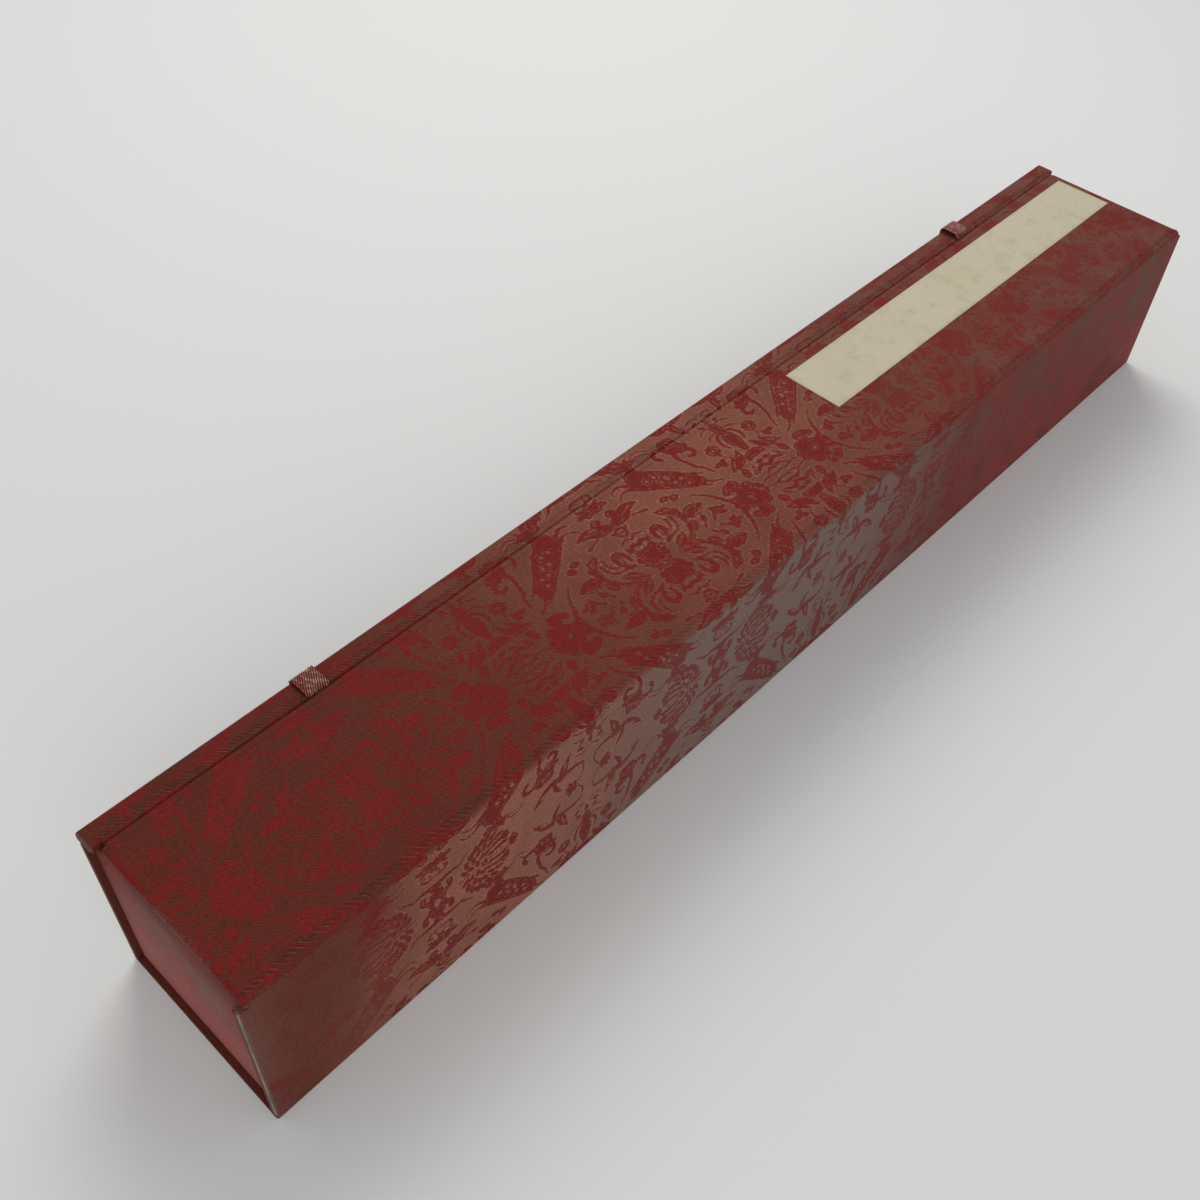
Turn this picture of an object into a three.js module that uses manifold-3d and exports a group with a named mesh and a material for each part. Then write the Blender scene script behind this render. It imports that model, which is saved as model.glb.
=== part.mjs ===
import * as THREE from "three";
import { mergeVertices } from "three/addons/utils/BufferGeometryUtils.js";
import Module from "manifold-3d";

// A long case for one hanging scroll: pasteboard panels under damask, in millimetres.
// X runs across from the front board to the back board, Y along the length, Z up from the resting face.

// The case as a whole.
const case_length = 606; // two shaku, along the base board
const case_width = 87; // from the front board's face to the back board's face
const case_height = 88; // from the resting face to the lid's damask
const end_square = 2.6; // how far base, back, front and lip run past the end walls

// The layers of every panel.
const board_thick = 2.6; // pasteboard
const cloth_thick = 0.5; // damask on its paper backing
const lining_thick = 0.4; // plain lining cloth
const panel_thick = board_thick + cloth_thick + lining_thick;

// Edges, rounded by the cloth that is drawn over them.
const panel_edge_radius = 1.0;
const front_top_radius = 1.2;
const lip_end_radius = 1.1;
const lid_ridge_radius = 3.0;
const lid_end_radius = 2.0;
const arc_steps = 5;

// Clearances between pieces that move on each other.
const hinge_gap = 0.3; // at the cut of a cloth hinge
const front_top_gap = 1.2; // front board's top to the underside of the lip

// The lip along the lid's free edge and the groove beside it.
const lip_width = 9.1;
const lip_overhang = 0.8; // past the front board's face
const groove_width = 2.0;
const groove_cloth_thick = 0.6;
const groove_cloth_depth = 1.4; // below the lid's damask

// The title slip on the lid, one sun by eight.
const slip_width = 30.3;
const slip_length = 242.4;
const slip_thick = 0.2;
const slip_from_front = 16; // from the front board's face
const slip_from_end = 7.4; // from the end of the base board

// The two fastenings: a tape that crosses the lip, its hanging strap, a bone pin and a keeper on the front.
const tape_from_end = 93; // tape's middle from the end of the base board
const tape_width = 10;
const tape_thick = 0.5;
const tape_groove_gap = 0.2; // beside the lip's edge in the groove
const tape_front_gap = 0.2; // outside the lip's front edge
const tape_turn = 2.0; // how far the crossing tape comes down over the front edge
const near_tape_rise = 0.9; // the crossing tape's top above the lip
const far_tape_rise = 3.0;
const tape_bend_radius = 0.85; // outside, where the tape turns down at the lip's edges
const strap_plumb = 13; // strap from its root to where it is pushed out
const strap_length = 23; // from its root to the middle of its eye
const strap_eye_width = 4.2; // the strap is sewn to this width where it passes through the pin
const strap_taper_start = 6; // below the root
const bar_clearance = 0.3; // inside the strap's eye, round the pin's bar
const pin_front_gap = 0.3; // from the strap's eye to the front board's face
const pin_thick = 2.4;
const pin_bar_height = 1.6; // bone above the pin's slot
const pin_slot_clearance = 0.3; // round the strap in the slot
const pin_cheek = 1.2; // bone beside the slot
const pin_tip_width = 2.6;
const pin_reach = 34; // tip below the bar's middle
const keeper_height = 9;
const keeper_span = 17;
const keeper_thick = 0.5;
const keeper_rise = 0.4; // slack of the empty keeper over the front board
const keeper_foot = 3; // pasted ends
const keeper_from_root = 42; // keeper's middle below the strap's root

const wasm = await Module();
wasm.setup();

// A closed solid from a three.js geometry.
function solid(geometry) {
  const bare = geometry.clone();
  bare.deleteAttribute("normal");
  bare.deleteAttribute("uv");
  const merged = mergeVertices(bare, 1e-4);
  return new wasm.Manifold(
    new wasm.Mesh({
      numProp: 3,
      vertProperties: new Float32Array(merged.attributes.position.array),
      triVerts: new Uint32Array(merged.index.array),
    }),
  );
}

// The three.js geometry of a closed solid.
function geometryOf(body) {
  const mesh = body.getMesh();
  const geometry = new THREE.BufferGeometry();
  const points = new Float32Array(mesh.numVert * 3);
  for (let i = 0; i < mesh.numVert; i += 1) {
    for (let k = 0; k < 3; k += 1) points[3 * i + k] = mesh.vertProperties[mesh.numProp * i + k];
  }
  geometry.setAttribute("position", new THREE.BufferAttribute(points, 3));
  geometry.setIndex(new THREE.BufferAttribute(new Uint32Array(mesh.triVerts), 1));
  const flat = geometry.toNonIndexed();
  flat.computeVertexNormals();
  return flat;
}

// A rectangle with its own radius at each corner, in the order low-low, high-low, high-high, low-high.
function rectangle(u0, v0, u1, v1, radii) {
  const [a, b, c, d] = radii;
  const shape = new THREE.Shape();
  shape.moveTo(u0 + a, v0);
  shape.lineTo(u1 - b, v0);
  if (b > 0) shape.absarc(u1 - b, v0 + b, b, -Math.PI / 2, 0, false);
  shape.lineTo(u1, v1 - c);
  if (c > 0) shape.absarc(u1 - c, v1 - c, c, 0, Math.PI / 2, false);
  shape.lineTo(u0 + d, v1);
  if (d > 0) shape.absarc(u0 + d, v1 - d, d, Math.PI / 2, Math.PI, false);
  shape.lineTo(u0, v0 + a);
  if (a > 0) shape.absarc(u0 + a, v0 + a, a, Math.PI, 1.5 * Math.PI, false);
  return shape;
}

// A profile drawn in two axes and run along the third.
function run(shape, axis, from, to) {
  const geometry = new THREE.ExtrudeGeometry(shape, {
    depth: to - from,
    bevelEnabled: false,
    curveSegments: arc_steps,
  });
  if (axis === "z") return geometry.translate(0, 0, from);
  if (axis === "y") return geometry.rotateX(Math.PI / 2).translate(0, to, 0);
  const turn = new THREE.Matrix4().makeBasis(
    new THREE.Vector3(0, 1, 0),
    new THREE.Vector3(0, 0, 1),
    new THREE.Vector3(1, 0, 0),
  );
  return geometry.applyMatrix4(turn).translate(from, 0, 0);
}

// A block between two corners, with rounded edges along any of the three axes.
const square = [0, 0, 0, 0];
function block(lo, hi, round) {
  const along_y = round.y || square;
  const along_x = round.x || square;
  const along_z = round.z || square;
  let body = solid(run(rectangle(lo[0], lo[2], hi[0], hi[2], along_y), "y", lo[1], hi[1]));
  if (along_x.some((r) => r > 0)) {
    body = body.intersect(solid(run(rectangle(lo[1], lo[2], hi[1], hi[2], along_x), "x", lo[0], hi[0])));
  }
  if (along_z.some((r) => r > 0)) {
    body = body.intersect(solid(run(rectangle(lo[0], lo[1], hi[0], hi[1], along_z), "z", lo[2], hi[2])));
  }
  return body;
}

const part = new THREE.Group();

function add(name, geometry, colour) {
  const material = new THREE.MeshStandardMaterial({ color: colour, roughness: 0.8 });
  const mesh = new THREE.Mesh(geometry, material);
  mesh.name = name;
  part.add(mesh);
}

const damask = 0x7a3a36;
const pasteboard = 0x9a9488;
const lining = 0xcfc3a4;
const paper = 0xd8cfb2;
const tape = 0x8a4a3c;
const bone = 0xe6dcc2;

// One panel: damask drawn over the outer face and all four edges of a board, the lining let in behind it.
// axis and side name the inner face, so (2, -1) is a panel whose lining looks down.
function panel(name, lo, hi, axis, side, round) {
  const shell = block(lo, hi, round);
  const shrunk = {};
  for (const key of Object.keys(round)) {
    shrunk[key] = round[key].map((r) => Math.max(0, r - cloth_thick));
  }
  const pocket_lo = lo.map((value) => value + cloth_thick);
  const pocket_hi = hi.map((value) => value - cloth_thick);
  const board_lo = [...pocket_lo];
  const board_hi = [...pocket_hi];
  const lining_lo = [...pocket_lo];
  const lining_hi = [...pocket_hi];
  if (side < 0) {
    board_lo[axis] = pocket_hi[axis] - board_thick;
    lining_hi[axis] = board_lo[axis];
    lining_lo[axis] = lo[axis];
  } else {
    board_hi[axis] = pocket_lo[axis] + board_thick;
    lining_lo[axis] = board_hi[axis];
    lining_hi[axis] = hi[axis];
  }
  const board = block(board_lo, board_hi, shrunk);
  const back = block(lining_lo, lining_hi, {});
  add(name + "_board", geometryOf(board), pasteboard);
  add(name + "_cover", geometryOf(shell.subtract(board).subtract(back)), damask);
  add(name + "_lining", geometryOf(back), lining);
}

// Shared levels and faces.
const front_face = -case_width / 2;
const back_face = case_width / 2;
const near_end = -case_length / 2;
const far_end = case_length / 2;
const near_wall = near_end + end_square;
const far_wall = far_end - end_square;
const lid_under = case_height - panel_thick;
const e = panel_edge_radius;

// The fixed case: base, back, front and the two end walls between them.
panel("base", [front_face, near_end, 0], [back_face, far_end, panel_thick], 2, 1, {
  y: [e, e, 0, 0],
  x: [e, e, 0, 0],
});
panel(
  "back",
  [back_face - panel_thick, near_end, panel_thick],
  [back_face, far_end, lid_under - hinge_gap],
  0,
  -1,
  { z: [0, e, e, 0] },
);
panel(
  "front",
  [front_face, near_end, panel_thick],
  [front_face + panel_thick, far_end, lid_under - front_top_gap],
  0,
  1,
  { y: [0, 0, 0, front_top_radius], z: [e, 0, 0, e] },
);
const wall_front = front_face + panel_thick;
const wall_back = back_face - panel_thick;
panel(
  "near_end",
  [wall_front, near_wall, panel_thick],
  [wall_back, near_wall + panel_thick, lid_under],
  1,
  1,
  { z: [e, 0, 0, 0] },
);
panel(
  "far_end",
  [wall_front, far_wall - panel_thick, panel_thick],
  [wall_back, far_wall, lid_under],
  1,
  -1,
  { z: [0, 0, 0, e] },
);

// The lid, hung on the ridge, with the title slip pasted on it.
const lip_front = front_face - lip_overhang;
const lip_back = lip_front + lip_width;
const lid_front = lip_back + groove_width;
panel("lid", [lid_front, near_wall, lid_under], [back_face, far_wall, case_height], 2, -1, {
  y: [0, 0, lid_ridge_radius, e],
  x: [0, 0, lid_end_radius, lid_end_radius],
});
const slip_front = front_face + slip_from_front;
const slip_far = far_end - slip_from_end;
add(
  "title_slip",
  geometryOf(
    block(
      [slip_front, slip_far - slip_length, case_height],
      [slip_front + slip_width, slip_far, case_height + slip_thick],
      {},
    ),
  ),
  paper,
);

// The lip and the damask sunk between it and the lid; the sunk strip is notched where the tapes go through.
panel("lip", [lip_front, near_end, lid_under], [lip_back, far_end, case_height], 2, -1, {
  y: [0, 0, e, e],
  x: [0, 0, lip_end_radius, lip_end_radius],
});
const fastenings = [
  { name: "near", middle: near_end + tape_from_end, rise: near_tape_rise },
  { name: "far", middle: far_end - tape_from_end, rise: far_tape_rise },
];
const tape_back = lip_back + tape_groove_gap + tape_thick;
const strip_top = case_height - groove_cloth_depth;
let strip = block(
  [lip_back + hinge_gap, near_wall, strip_top - groove_cloth_thick],
  [lid_front, far_wall, strip_top],
  {},
);
for (const { middle } of fastenings) {
  const half = tape_width / 2 + hinge_gap;
  strip = strip.subtract(
    block([lip_back, middle - half, lid_under], [tape_back + hinge_gap, middle + half, case_height], {}),
  );
}
add("groove_cloth", geometryOf(strip), damask);

// Each fastening, from the groove over the lip and down the front board.
const tape_front = lip_front - tape_front_gap - tape_thick;
const strap_root = case_height - tape_turn - hinge_gap;
const eye_inner = Math.hypot(pin_thick, pin_bar_height) / 2 + bar_clearance;
const eye_outer = eye_inner + tape_thick;
const eye_x = front_face - pin_front_gap - eye_outer;
const eye_z = strap_root - strap_length;
for (const { name, middle, rise } of fastenings) {
  const y0 = middle - tape_width / 2;
  const y1 = middle + tape_width / 2;
  const top = case_height + rise;

  // The crossing tape: up out of the groove, over the lip and a little way down its front edge.
  const bend = Math.min(rise, tape_bend_radius);
  const over = rectangle(tape_front, lid_under, tape_back, top, [0, 0, bend, bend]);
  const inner_bend = Math.max(0, bend - tape_thick);
  const under = rectangle(
    tape_front + tape_thick,
    lid_under - tape_width,
    tape_back - tape_thick,
    top - tape_thick,
    [0, 0, inner_bend, inner_bend],
  );
  const front_cut = block(
    [tape_front - tape_width, y0 - tape_width, lid_under - tape_width],
    [lip_front, y1 + tape_width, case_height - tape_turn],
    {},
  );
  const crossing = solid(run(over, "y", y0, y1))
    .subtract(solid(run(under, "y", y0 - tape_width, y1 + tape_width)))
    .subtract(front_cut);
  add(name + "_tape", geometryOf(crossing), tape);

  // The hanging strap: plumb, then out to an eye that goes round the pin's bar.
  const fall = new THREE.Shape();
  fall.moveTo(tape_front, strap_root);
  fall.lineTo(tape_front, strap_root - strap_plumb);
  fall.lineTo(eye_x - tape_thick / 2, eye_z + eye_outer);
  fall.lineTo(eye_x - tape_thick / 2, eye_z + (eye_inner + eye_outer) / 2);
  fall.lineTo(eye_x + tape_thick / 2, eye_z + (eye_inner + eye_outer) / 2);
  fall.lineTo(eye_x + tape_thick / 2, eye_z + eye_outer);
  fall.lineTo(tape_front + tape_thick, strap_root - strap_plumb);
  fall.lineTo(tape_front + tape_thick, strap_root);
  const eye_ring = new THREE.CylinderGeometry(eye_outer, eye_outer, tape_width, 32);
  const eye_hole = new THREE.CylinderGeometry(eye_inner, eye_inner, 2 * tape_width, 32);
  const taper = new THREE.Shape();
  taper.moveTo(y0, strap_root + tape_width);
  taper.lineTo(y0, strap_root - strap_taper_start);
  taper.lineTo(middle - strap_eye_width / 2, eye_z + eye_outer);
  taper.lineTo(middle - strap_eye_width / 2, eye_z - 2 * eye_outer);
  taper.lineTo(middle + strap_eye_width / 2, eye_z - 2 * eye_outer);
  taper.lineTo(middle + strap_eye_width / 2, eye_z + eye_outer);
  taper.lineTo(y1, strap_root - strap_taper_start);
  taper.lineTo(y1, strap_root + tape_width);
  const strap = solid(run(fall, "y", y0, y1))
    .add(solid(eye_ring.translate(eye_x, middle, eye_z)))
    .subtract(solid(eye_hole.translate(eye_x, middle, eye_z)))
    .intersect(solid(run(taper, "x", eye_x - tape_width, front_face)));
  add(name + "_strap", geometryOf(strap), tape);

  // The pin: a flat bone peg, pointed, with a slot under the bar that the strap goes round.
  const slot_half = strap_eye_width / 2 + pin_slot_clearance;
  const head_half = slot_half + pin_cheek;
  const tip = pin_tip_width / 2;
  const outline = new THREE.Shape();
  outline.moveTo(-tip, tip - pin_reach);
  outline.absarc(0, tip - pin_reach, tip, Math.PI, 2 * Math.PI, false);
  outline.lineTo(head_half, -2 * eye_outer);
  outline.lineTo(head_half, pin_bar_height / 2 - pin_cheek);
  outline.absarc(head_half - pin_cheek, pin_bar_height / 2 - pin_cheek, pin_cheek, 0, Math.PI / 2, false);
  outline.lineTo(pin_cheek - head_half, pin_bar_height / 2);
  outline.absarc(pin_cheek - head_half, pin_bar_height / 2 - pin_cheek, pin_cheek, Math.PI / 2, Math.PI, false);
  outline.lineTo(-head_half, -2 * eye_outer);
  const slot = rectangle(
    -slot_half,
    -eye_outer - pin_slot_clearance,
    slot_half,
    -pin_bar_height / 2,
    square,
  );
  const blank = solid(run(outline, "x", -pin_thick / 2, pin_thick / 2));
  const pin = blank.subtract(solid(run(slot, "x", -pin_thick, pin_thick)));
  add(name + "_pin", geometryOf(pin).translate(eye_x, middle, eye_z), bone);

  // The keeper: a short band pasted by its ends to the front board, for the pin to be pushed behind.
  const far_side = keeper_span / 2;
  const hollow_side = far_side - keeper_foot;
  const sheet = rectangle(
    front_face - keeper_rise - keeper_thick,
    middle - far_side,
    front_face,
    middle + far_side,
    [keeper_thick, 0, 0, keeper_thick],
  );
  const slack = rectangle(
    front_face - keeper_rise,
    middle - hollow_side,
    front_face + keeper_thick,
    middle + hollow_side,
    square,
  );
  const low = strap_root - keeper_from_root - keeper_height / 2;
  const high = low + keeper_height;
  const keeper = solid(run(sheet, "z", low, high)).subtract(
    solid(run(slack, "z", low - keeper_height, high + keeper_height)),
  );
  add(name + "_keeper", geometryOf(keeper), tape);
}

export default part;
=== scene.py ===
from functools import partial
import math

import bmesh
import bpy
import numpy as np
from mathutils import Matrix, Vector


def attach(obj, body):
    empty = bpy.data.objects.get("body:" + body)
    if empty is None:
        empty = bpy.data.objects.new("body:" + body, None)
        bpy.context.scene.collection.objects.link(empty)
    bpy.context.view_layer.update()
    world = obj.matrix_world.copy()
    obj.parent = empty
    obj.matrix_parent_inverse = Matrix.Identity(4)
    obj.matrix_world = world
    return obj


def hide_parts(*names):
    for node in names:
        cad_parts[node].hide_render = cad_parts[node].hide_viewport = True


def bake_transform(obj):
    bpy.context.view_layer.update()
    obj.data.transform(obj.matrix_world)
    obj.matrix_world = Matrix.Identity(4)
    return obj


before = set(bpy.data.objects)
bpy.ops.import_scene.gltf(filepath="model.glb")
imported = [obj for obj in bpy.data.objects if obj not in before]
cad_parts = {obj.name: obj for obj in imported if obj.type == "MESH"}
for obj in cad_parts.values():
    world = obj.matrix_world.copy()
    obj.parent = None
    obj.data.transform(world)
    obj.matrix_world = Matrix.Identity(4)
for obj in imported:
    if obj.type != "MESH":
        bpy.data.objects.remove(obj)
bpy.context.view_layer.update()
MM = 0.001

# The studio: a plain pale floor, one large soft light from the far left and even light all round.
# The camera stands above the near right corner of the case and looks along its length.
scene = bpy.context.scene
scene.view_settings.view_transform = "Standard"


def into_scene(name, data):
    thing = bpy.data.objects.new(name, data)
    scene.collection.objects.link(thing)
    return thing


scene.camera = into_scene("camera", bpy.data.cameras.new("camera"))
scene.camera.data.sensor_width = 36.0
scene.camera.data.lens = 39.67
scene.camera.data.clip_start = 0.01
look_right = Vector((0.72534, 0.68729, 0.03902))
look_down = Vector((0.53389, -0.52585, -0.66215))
look_ahead = Vector((-0.43457, 0.50112, -0.74835))
stance = Matrix((look_right, -look_down, -look_ahead)).transposed().to_4x4()
stance.translation = Vector((227.9, -361.3, 468.6)) * MM
scene.camera.matrix_world = stance
LIGHT_AIM = Vector((0, 0, 0.05))


def soft_light(name, place, side, watts, colour):
    lamp = into_scene(name, bpy.data.lights.new(name, "AREA"))
    lamp.data.shape = "RECTANGLE"
    lamp.data.size = lamp.data.size_y = side
    lamp.data.energy = watts
    lamp.data.color = colour
    lamp.location = place
    lamp.rotation_mode = "QUATERNION"
    lamp.rotation_quaternion = (LIGHT_AIM - Vector(place)).to_track_quat("-Z", "Y")


soft_light("window", place=(-0.70, 0.55, 1.18), side=0.8, watts=9.6, colour=(1.0, 0.975, 0.93))
soft_light("fill", place=(1.00, -0.85, 0.85), side=1.2, watts=6.5, colour=(1.0, 0.985, 0.96))

scene.world = bpy.data.worlds.new("surround")
scene.world.use_nodes = True
surround = scene.world.node_tree.nodes["Background"].inputs
surround["Color"].default_value = (0.97, 0.985, 1.0, 1.0)
surround["Strength"].default_value = 0.51


class Value:
    """What a node gives out. Sums and products of values become Math nodes, and each step that its tree
    knows can be taken on the value itself."""

    def __init__(self, nodes, socket):
        self.nodes, self.socket = nodes, socket

    def __getattr__(self, step):
        return partial(getattr(self.nodes, step), self)

    def __add__(self, other):
        return self.math("ADD", other)

    def __sub__(self, other):
        return self.math("SUBTRACT", other)

    def __rsub__(self, other):
        return self.nodes.math(other, "SUBTRACT", self)

    def __mul__(self, other):
        return self.math("MULTIPLY", other)

    def __truediv__(self, other):
        return self.math("DIVIDE", other)

    def __neg__(self):
        return self * -1.0

    def __abs__(self):
        return self.math("ABSOLUTE")


class Nodes:
    """A node tree, put together node by node."""

    def plug(self, node, sockets):
        for key, value in sockets.items():
            socket = node.inputs[int(key[1:])] if key[0] == "_" else node.inputs[key.replace("_", " ")]
            if isinstance(value, Value):
                self.tree.links.new(value.socket, socket)
            else:
                socket.default_value = value

    def node(self, kind, output=0, settings=None, **sockets):
        made = self.tree.nodes.new(kind if "Node" in kind else self.family + kind)
        for key, value in (settings or {}).items():
            setattr(made, key, value)
        self.plug(made, sockets)
        return Value(self, made.outputs[output])

    def math(self, a, operation, b=0.0):
        return self.node("ShaderNodeMath", settings={"operation": operation}, _0=a, _1=b)


class Finish(Nodes):
    """A procedural material."""

    family = "ShaderNode"

    def __init__(self, name, **sockets):
        self.material = bpy.data.materials.new(name)
        self.material.use_nodes = True
        self.tree = self.material.node_tree
        self.surface = self.tree.nodes["Principled BSDF"]
        self.plug(self.surface, sockets)

    def mix(self, share, a, b, blend_type="MIX"):
        settings = {"data_type": "RGBA", "clamp_factor": True, "blend_type": blend_type}
        return self.node("Mix", 2, settings, _0=share, _6=a, _7=b)

    def between(self, share, a, b):
        return self.node("Mix", 0, _0=share, _2=a, _3=b)

    def step(self, value, low, high, to_low=0.0, to_high=1.0):
        settings = {"interpolation_type": "SMOOTHSTEP", "clamp": True}
        return self.node("MapRange", 0, settings, _0=value, _1=low, _2=high, _3=to_low, _4=to_high)

    def noise(self, vector, scale, detail=2.0, roughness=0.5):
        return self.node("TexNoise", Vector=vector, Scale=scale, Detail=detail, Roughness=roughness)

    def stretched(self, vector, scale, turn=0.0):
        """The place turned first and then scaled, so that grain can run at a slant."""
        sockets = {"Scale": tuple(1.0 / s for s in scale), "Rotation": (0.0, 0.0, turn)}
        return self.node("Mapping", 0, {"vector_type": "TEXTURE"}, Vector=vector, **sockets)

    def object_place(self):
        return self.node("TexCoord", 3)

    def cloth_place(self):
        return self.node("UVMap", settings={"uv_map": "cloth"})

    def attribute(self, name):
        return self.node("Attribute", 2, {"attribute_name": name})

    def relief(self, height, distance):
        return self.node("Bump", Height=height, Distance=distance, Strength=1.0)

    def finish(self, **sockets):
        self.plug(self.surface, sockets)


floor_finish = Finish("floor_paper", Roughness=0.85)
floor_grain = floor_finish.object_place().noise(900.0, 3.0)
floor_tone = floor_grain.mix((0.70, 0.705, 0.70, 1), (0.74, 0.745, 0.74, 1))
floor_finish.finish(Base_Color=floor_tone)
FLOOR_HALF = 4.0
floor_corners = [(FLOOR_HALF * x, FLOOR_HALF * y, 0) for x, y in ((-1, -1), (1, -1), (1, 1), (-1, 1))]
floor_mesh = bpy.data.meshes.new("floor")
floor_mesh.from_pydata(floor_corners, [], [(0, 1, 2, 3)])
floor_mesh.materials.append(floor_finish.material)
into_scene("floor", floor_mesh)

# The damask: silk woven with deer, birds and flowers in dull red on an olive-brown satin ground.
# The figure repeats by mirroring, so a quarter of it is drawn, in millimetres from its two mirror lines.
HALF_ALONG, HALF_ACROSS = 75.75, 67.0
MIRROR_ALONG, MIRROR_ACROSS = -73.7, 55.0
FIGURE_STEP, FIGURE_REACH, LEAF_TIP = 0.25, 4.0, 0.3
figure_u, figure_v = np.meshgrid(
    np.arange(0, HALF_ALONG + FIGURE_STEP, FIGURE_STEP),
    np.arange(0, HALF_ACROSS + FIGURE_STEP, FIGURE_STEP),
    indexing="ij",
)
figure = np.full(figure_u.shape, FIGURE_REACH)


def smooth_line(points, per_span=6):
    """A smooth line through a few points."""
    p = np.array(points, float)
    p = np.vstack([2 * p[0] - p[1], p, 2 * p[-1] - p[-2]])
    s = np.linspace(0, 1, per_span, endpoint=False)[:, None]
    spans = [
        0.5 * (2 * b + (c - a) * s + (2 * a - 5 * b + 4 * c - d) * s**2 + (3 * b - a - 3 * c + d) * s**3)
        for a, b, c, d in zip(p[:-3], p[1:-2], p[2:-1], p[3:])
    ]
    return np.vstack(spans + [p[-2:-1]])


def window_of(low, high):
    """The stretch of the drawing between two corners, with room for the soft edge."""
    u0, v0 = (max(0, int((x - FIGURE_REACH) / FIGURE_STEP)) for x in low)
    u1, v1 = (max(0, int((x + FIGURE_REACH) / FIGURE_STEP) + 2) for x in high)
    return np.s_[u0:u1, v0:v1]


def lay(part, distance, sunk=False):
    """Weaves a shape into the figure, or sinks it back to the ground."""
    if sunk:
        figure[part] = np.maximum(figure[part], -distance)
    else:
        figure[part] = np.minimum(figure[part], distance)


def stroke(*points, sunk=False):
    """A smooth stroke through points of (u, v, width)."""
    line = smooth_line(points)
    part = window_of(line[:, :2].min(0) - line[:, 2].max() / 2, line[:, :2].max(0) + line[:, 2].max() / 2)
    u, v = figure_u[part], figure_v[part]
    nearest = np.full(u.shape, FIGURE_REACH)
    for (u0, v0, w0), (u1, v1, w1) in zip(line[:-1], line[1:]):
        du, dv = u1 - u0, v1 - v0
        s = np.clip(((u - u0) * du + (v - v0) * dv) / (du * du + dv * dv + 1e-9), 0, 1)
        nearest = np.minimum(nearest, np.hypot(u - u0 - s * du, v - v0 - s * dv) - (w0 + s * (w1 - w0)) / 2)
    lay(part, nearest, sunk)


def leaf(u, v, length, width, turn):
    du, dv = length / 2 * math.cos(math.radians(turn)), length / 2 * math.sin(math.radians(turn))
    stroke((u - du, v - dv, LEAF_TIP), (u, v, width), (u + du, v + dv, LEAF_TIP))


def flower(u, v, across, tall=None, petals=5, depth=0.0, turn=0.0, sunk=False):
    """A round or lobed blossom with its own half sizes across and along."""
    tall = tall or across
    part = window_of((u - across, v - tall), (u + across, v + tall))
    du, dv = (figure_u[part] - u) / across, (figure_v[part] - v) / tall
    lobes = 1 - depth * (1 - np.abs(np.cos(petals / 2 * (np.arctan2(dv, du) - math.radians(turn)))))
    lay(part, (np.hypot(du, dv) - lobes) * min(across, tall), sunk)


def ring(u, v, radius, width):
    part = window_of((u - radius, v - radius), (u + radius, v + radius))
    lay(part, np.abs(np.hypot(figure_u[part] - u, figure_v[part] - v) - radius) - width / 2)


# The palmette in the middle of the roundel, with its brackets above.
flower(0, 7.2, 5.2, 4.4)
for lobe in ((3.4, 9.8, 2.3), (5.8, 7.4, 2.0), (4.8, 3.9, 2.0), (2.0, 3.4, 1.5)):
    flower(*lobe)
stroke((0, 13.2, 1.4), (0, 10.8, 0.3), sunk=True)
stroke((4.6, 8.6, 0.3), (6.6, 9.6, 0.8), sunk=True)
ring(0, 0, 1.5, 0.9)
leaf(3.4, 0.8, 3.4, 1.9, 15)
stroke((0, 14.0, 2.0), (2.4, 15.2, 2.4), (4.8, 14.0, 2.0), (6.4, 15.4, 1.2))
stroke((0, 17.8, 1.0), (2.6, 19.4, 1.4), (6.2, 18.2, 0.9))
stroke((4.0, 12.6, 0.8), (6.6, 12.8, 0.8))

# The fan of leaves and curled fronds round it.
leaf(14.2, 4.0, 10.6, 4.4, 32)
stroke((10.6, 1.8, 0.3), (14.4, 4.2, 0.7), (17.4, 6.2, 0.4), sunk=True)
leaf(11.4, 7.8, 6.4, 2.2, 22)
stroke(
    (8.6, 10.4, 1.6), (8.8, 14.2, 2.2), (10.8, 16.6, 2.7), (13.2, 15.6, 2.4),
    (13.6, 12.2, 2.2), (12.0, 9.6, 1.5),
)
stroke((11.2, 15.2, 1.2), (11.2, 11.0, 1.0))
stroke((9.8, 13.6, 0.4), (12.4, 12.2, 0.8), sunk=True)
stroke(
    (9.0, 0.6, 1.0), (17.6, 2.0, 1.3), (21.4, 5.4, 1.8), (23.6, 10.4, 2.6),
    (23.4, 15.4, 4.2), (20.8, 19.4, 4.2), (17.6, 21.8, 1.0),
)
stroke((13.0, 8.0, 0.8), (18.0, 9.2, 1.2), (20.0, 12.4, 1.4), (20.0, 16.0, 1.4))
stroke((15.0, 10.6, 0.8), (17.0, 12.2, 1.2), (17.8, 15.4, 1.4), (17.0, 18.4, 1.0))
stroke((22.6, 8.6, 0.4), (22.6, 13.6, 0.7), (20.0, 18.0, 0.6), sunk=True)
flower(24.8, 16.8, 1.6)
flower(22.2, 20.0, 1.7)
leaf(24.2, 5.6, 7.2, 4.0, 55)
stroke((23.0, 4.0, 0.3), (25.0, 7.0, 0.6), sunk=True)
leaf(30.0, 5.5, 4.4, 3.0, 60)
for sprig in (
    (19.4, 1.4, 4.2, 1.5, 35), (27.6, 2.2, 3.8, 1.7, 50),
    (33.0, 2.2, 3.8, 1.6, 40), (15.6, 0.6, 4.0, 1.5, 10),
):
    leaf(*sprig)

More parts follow.
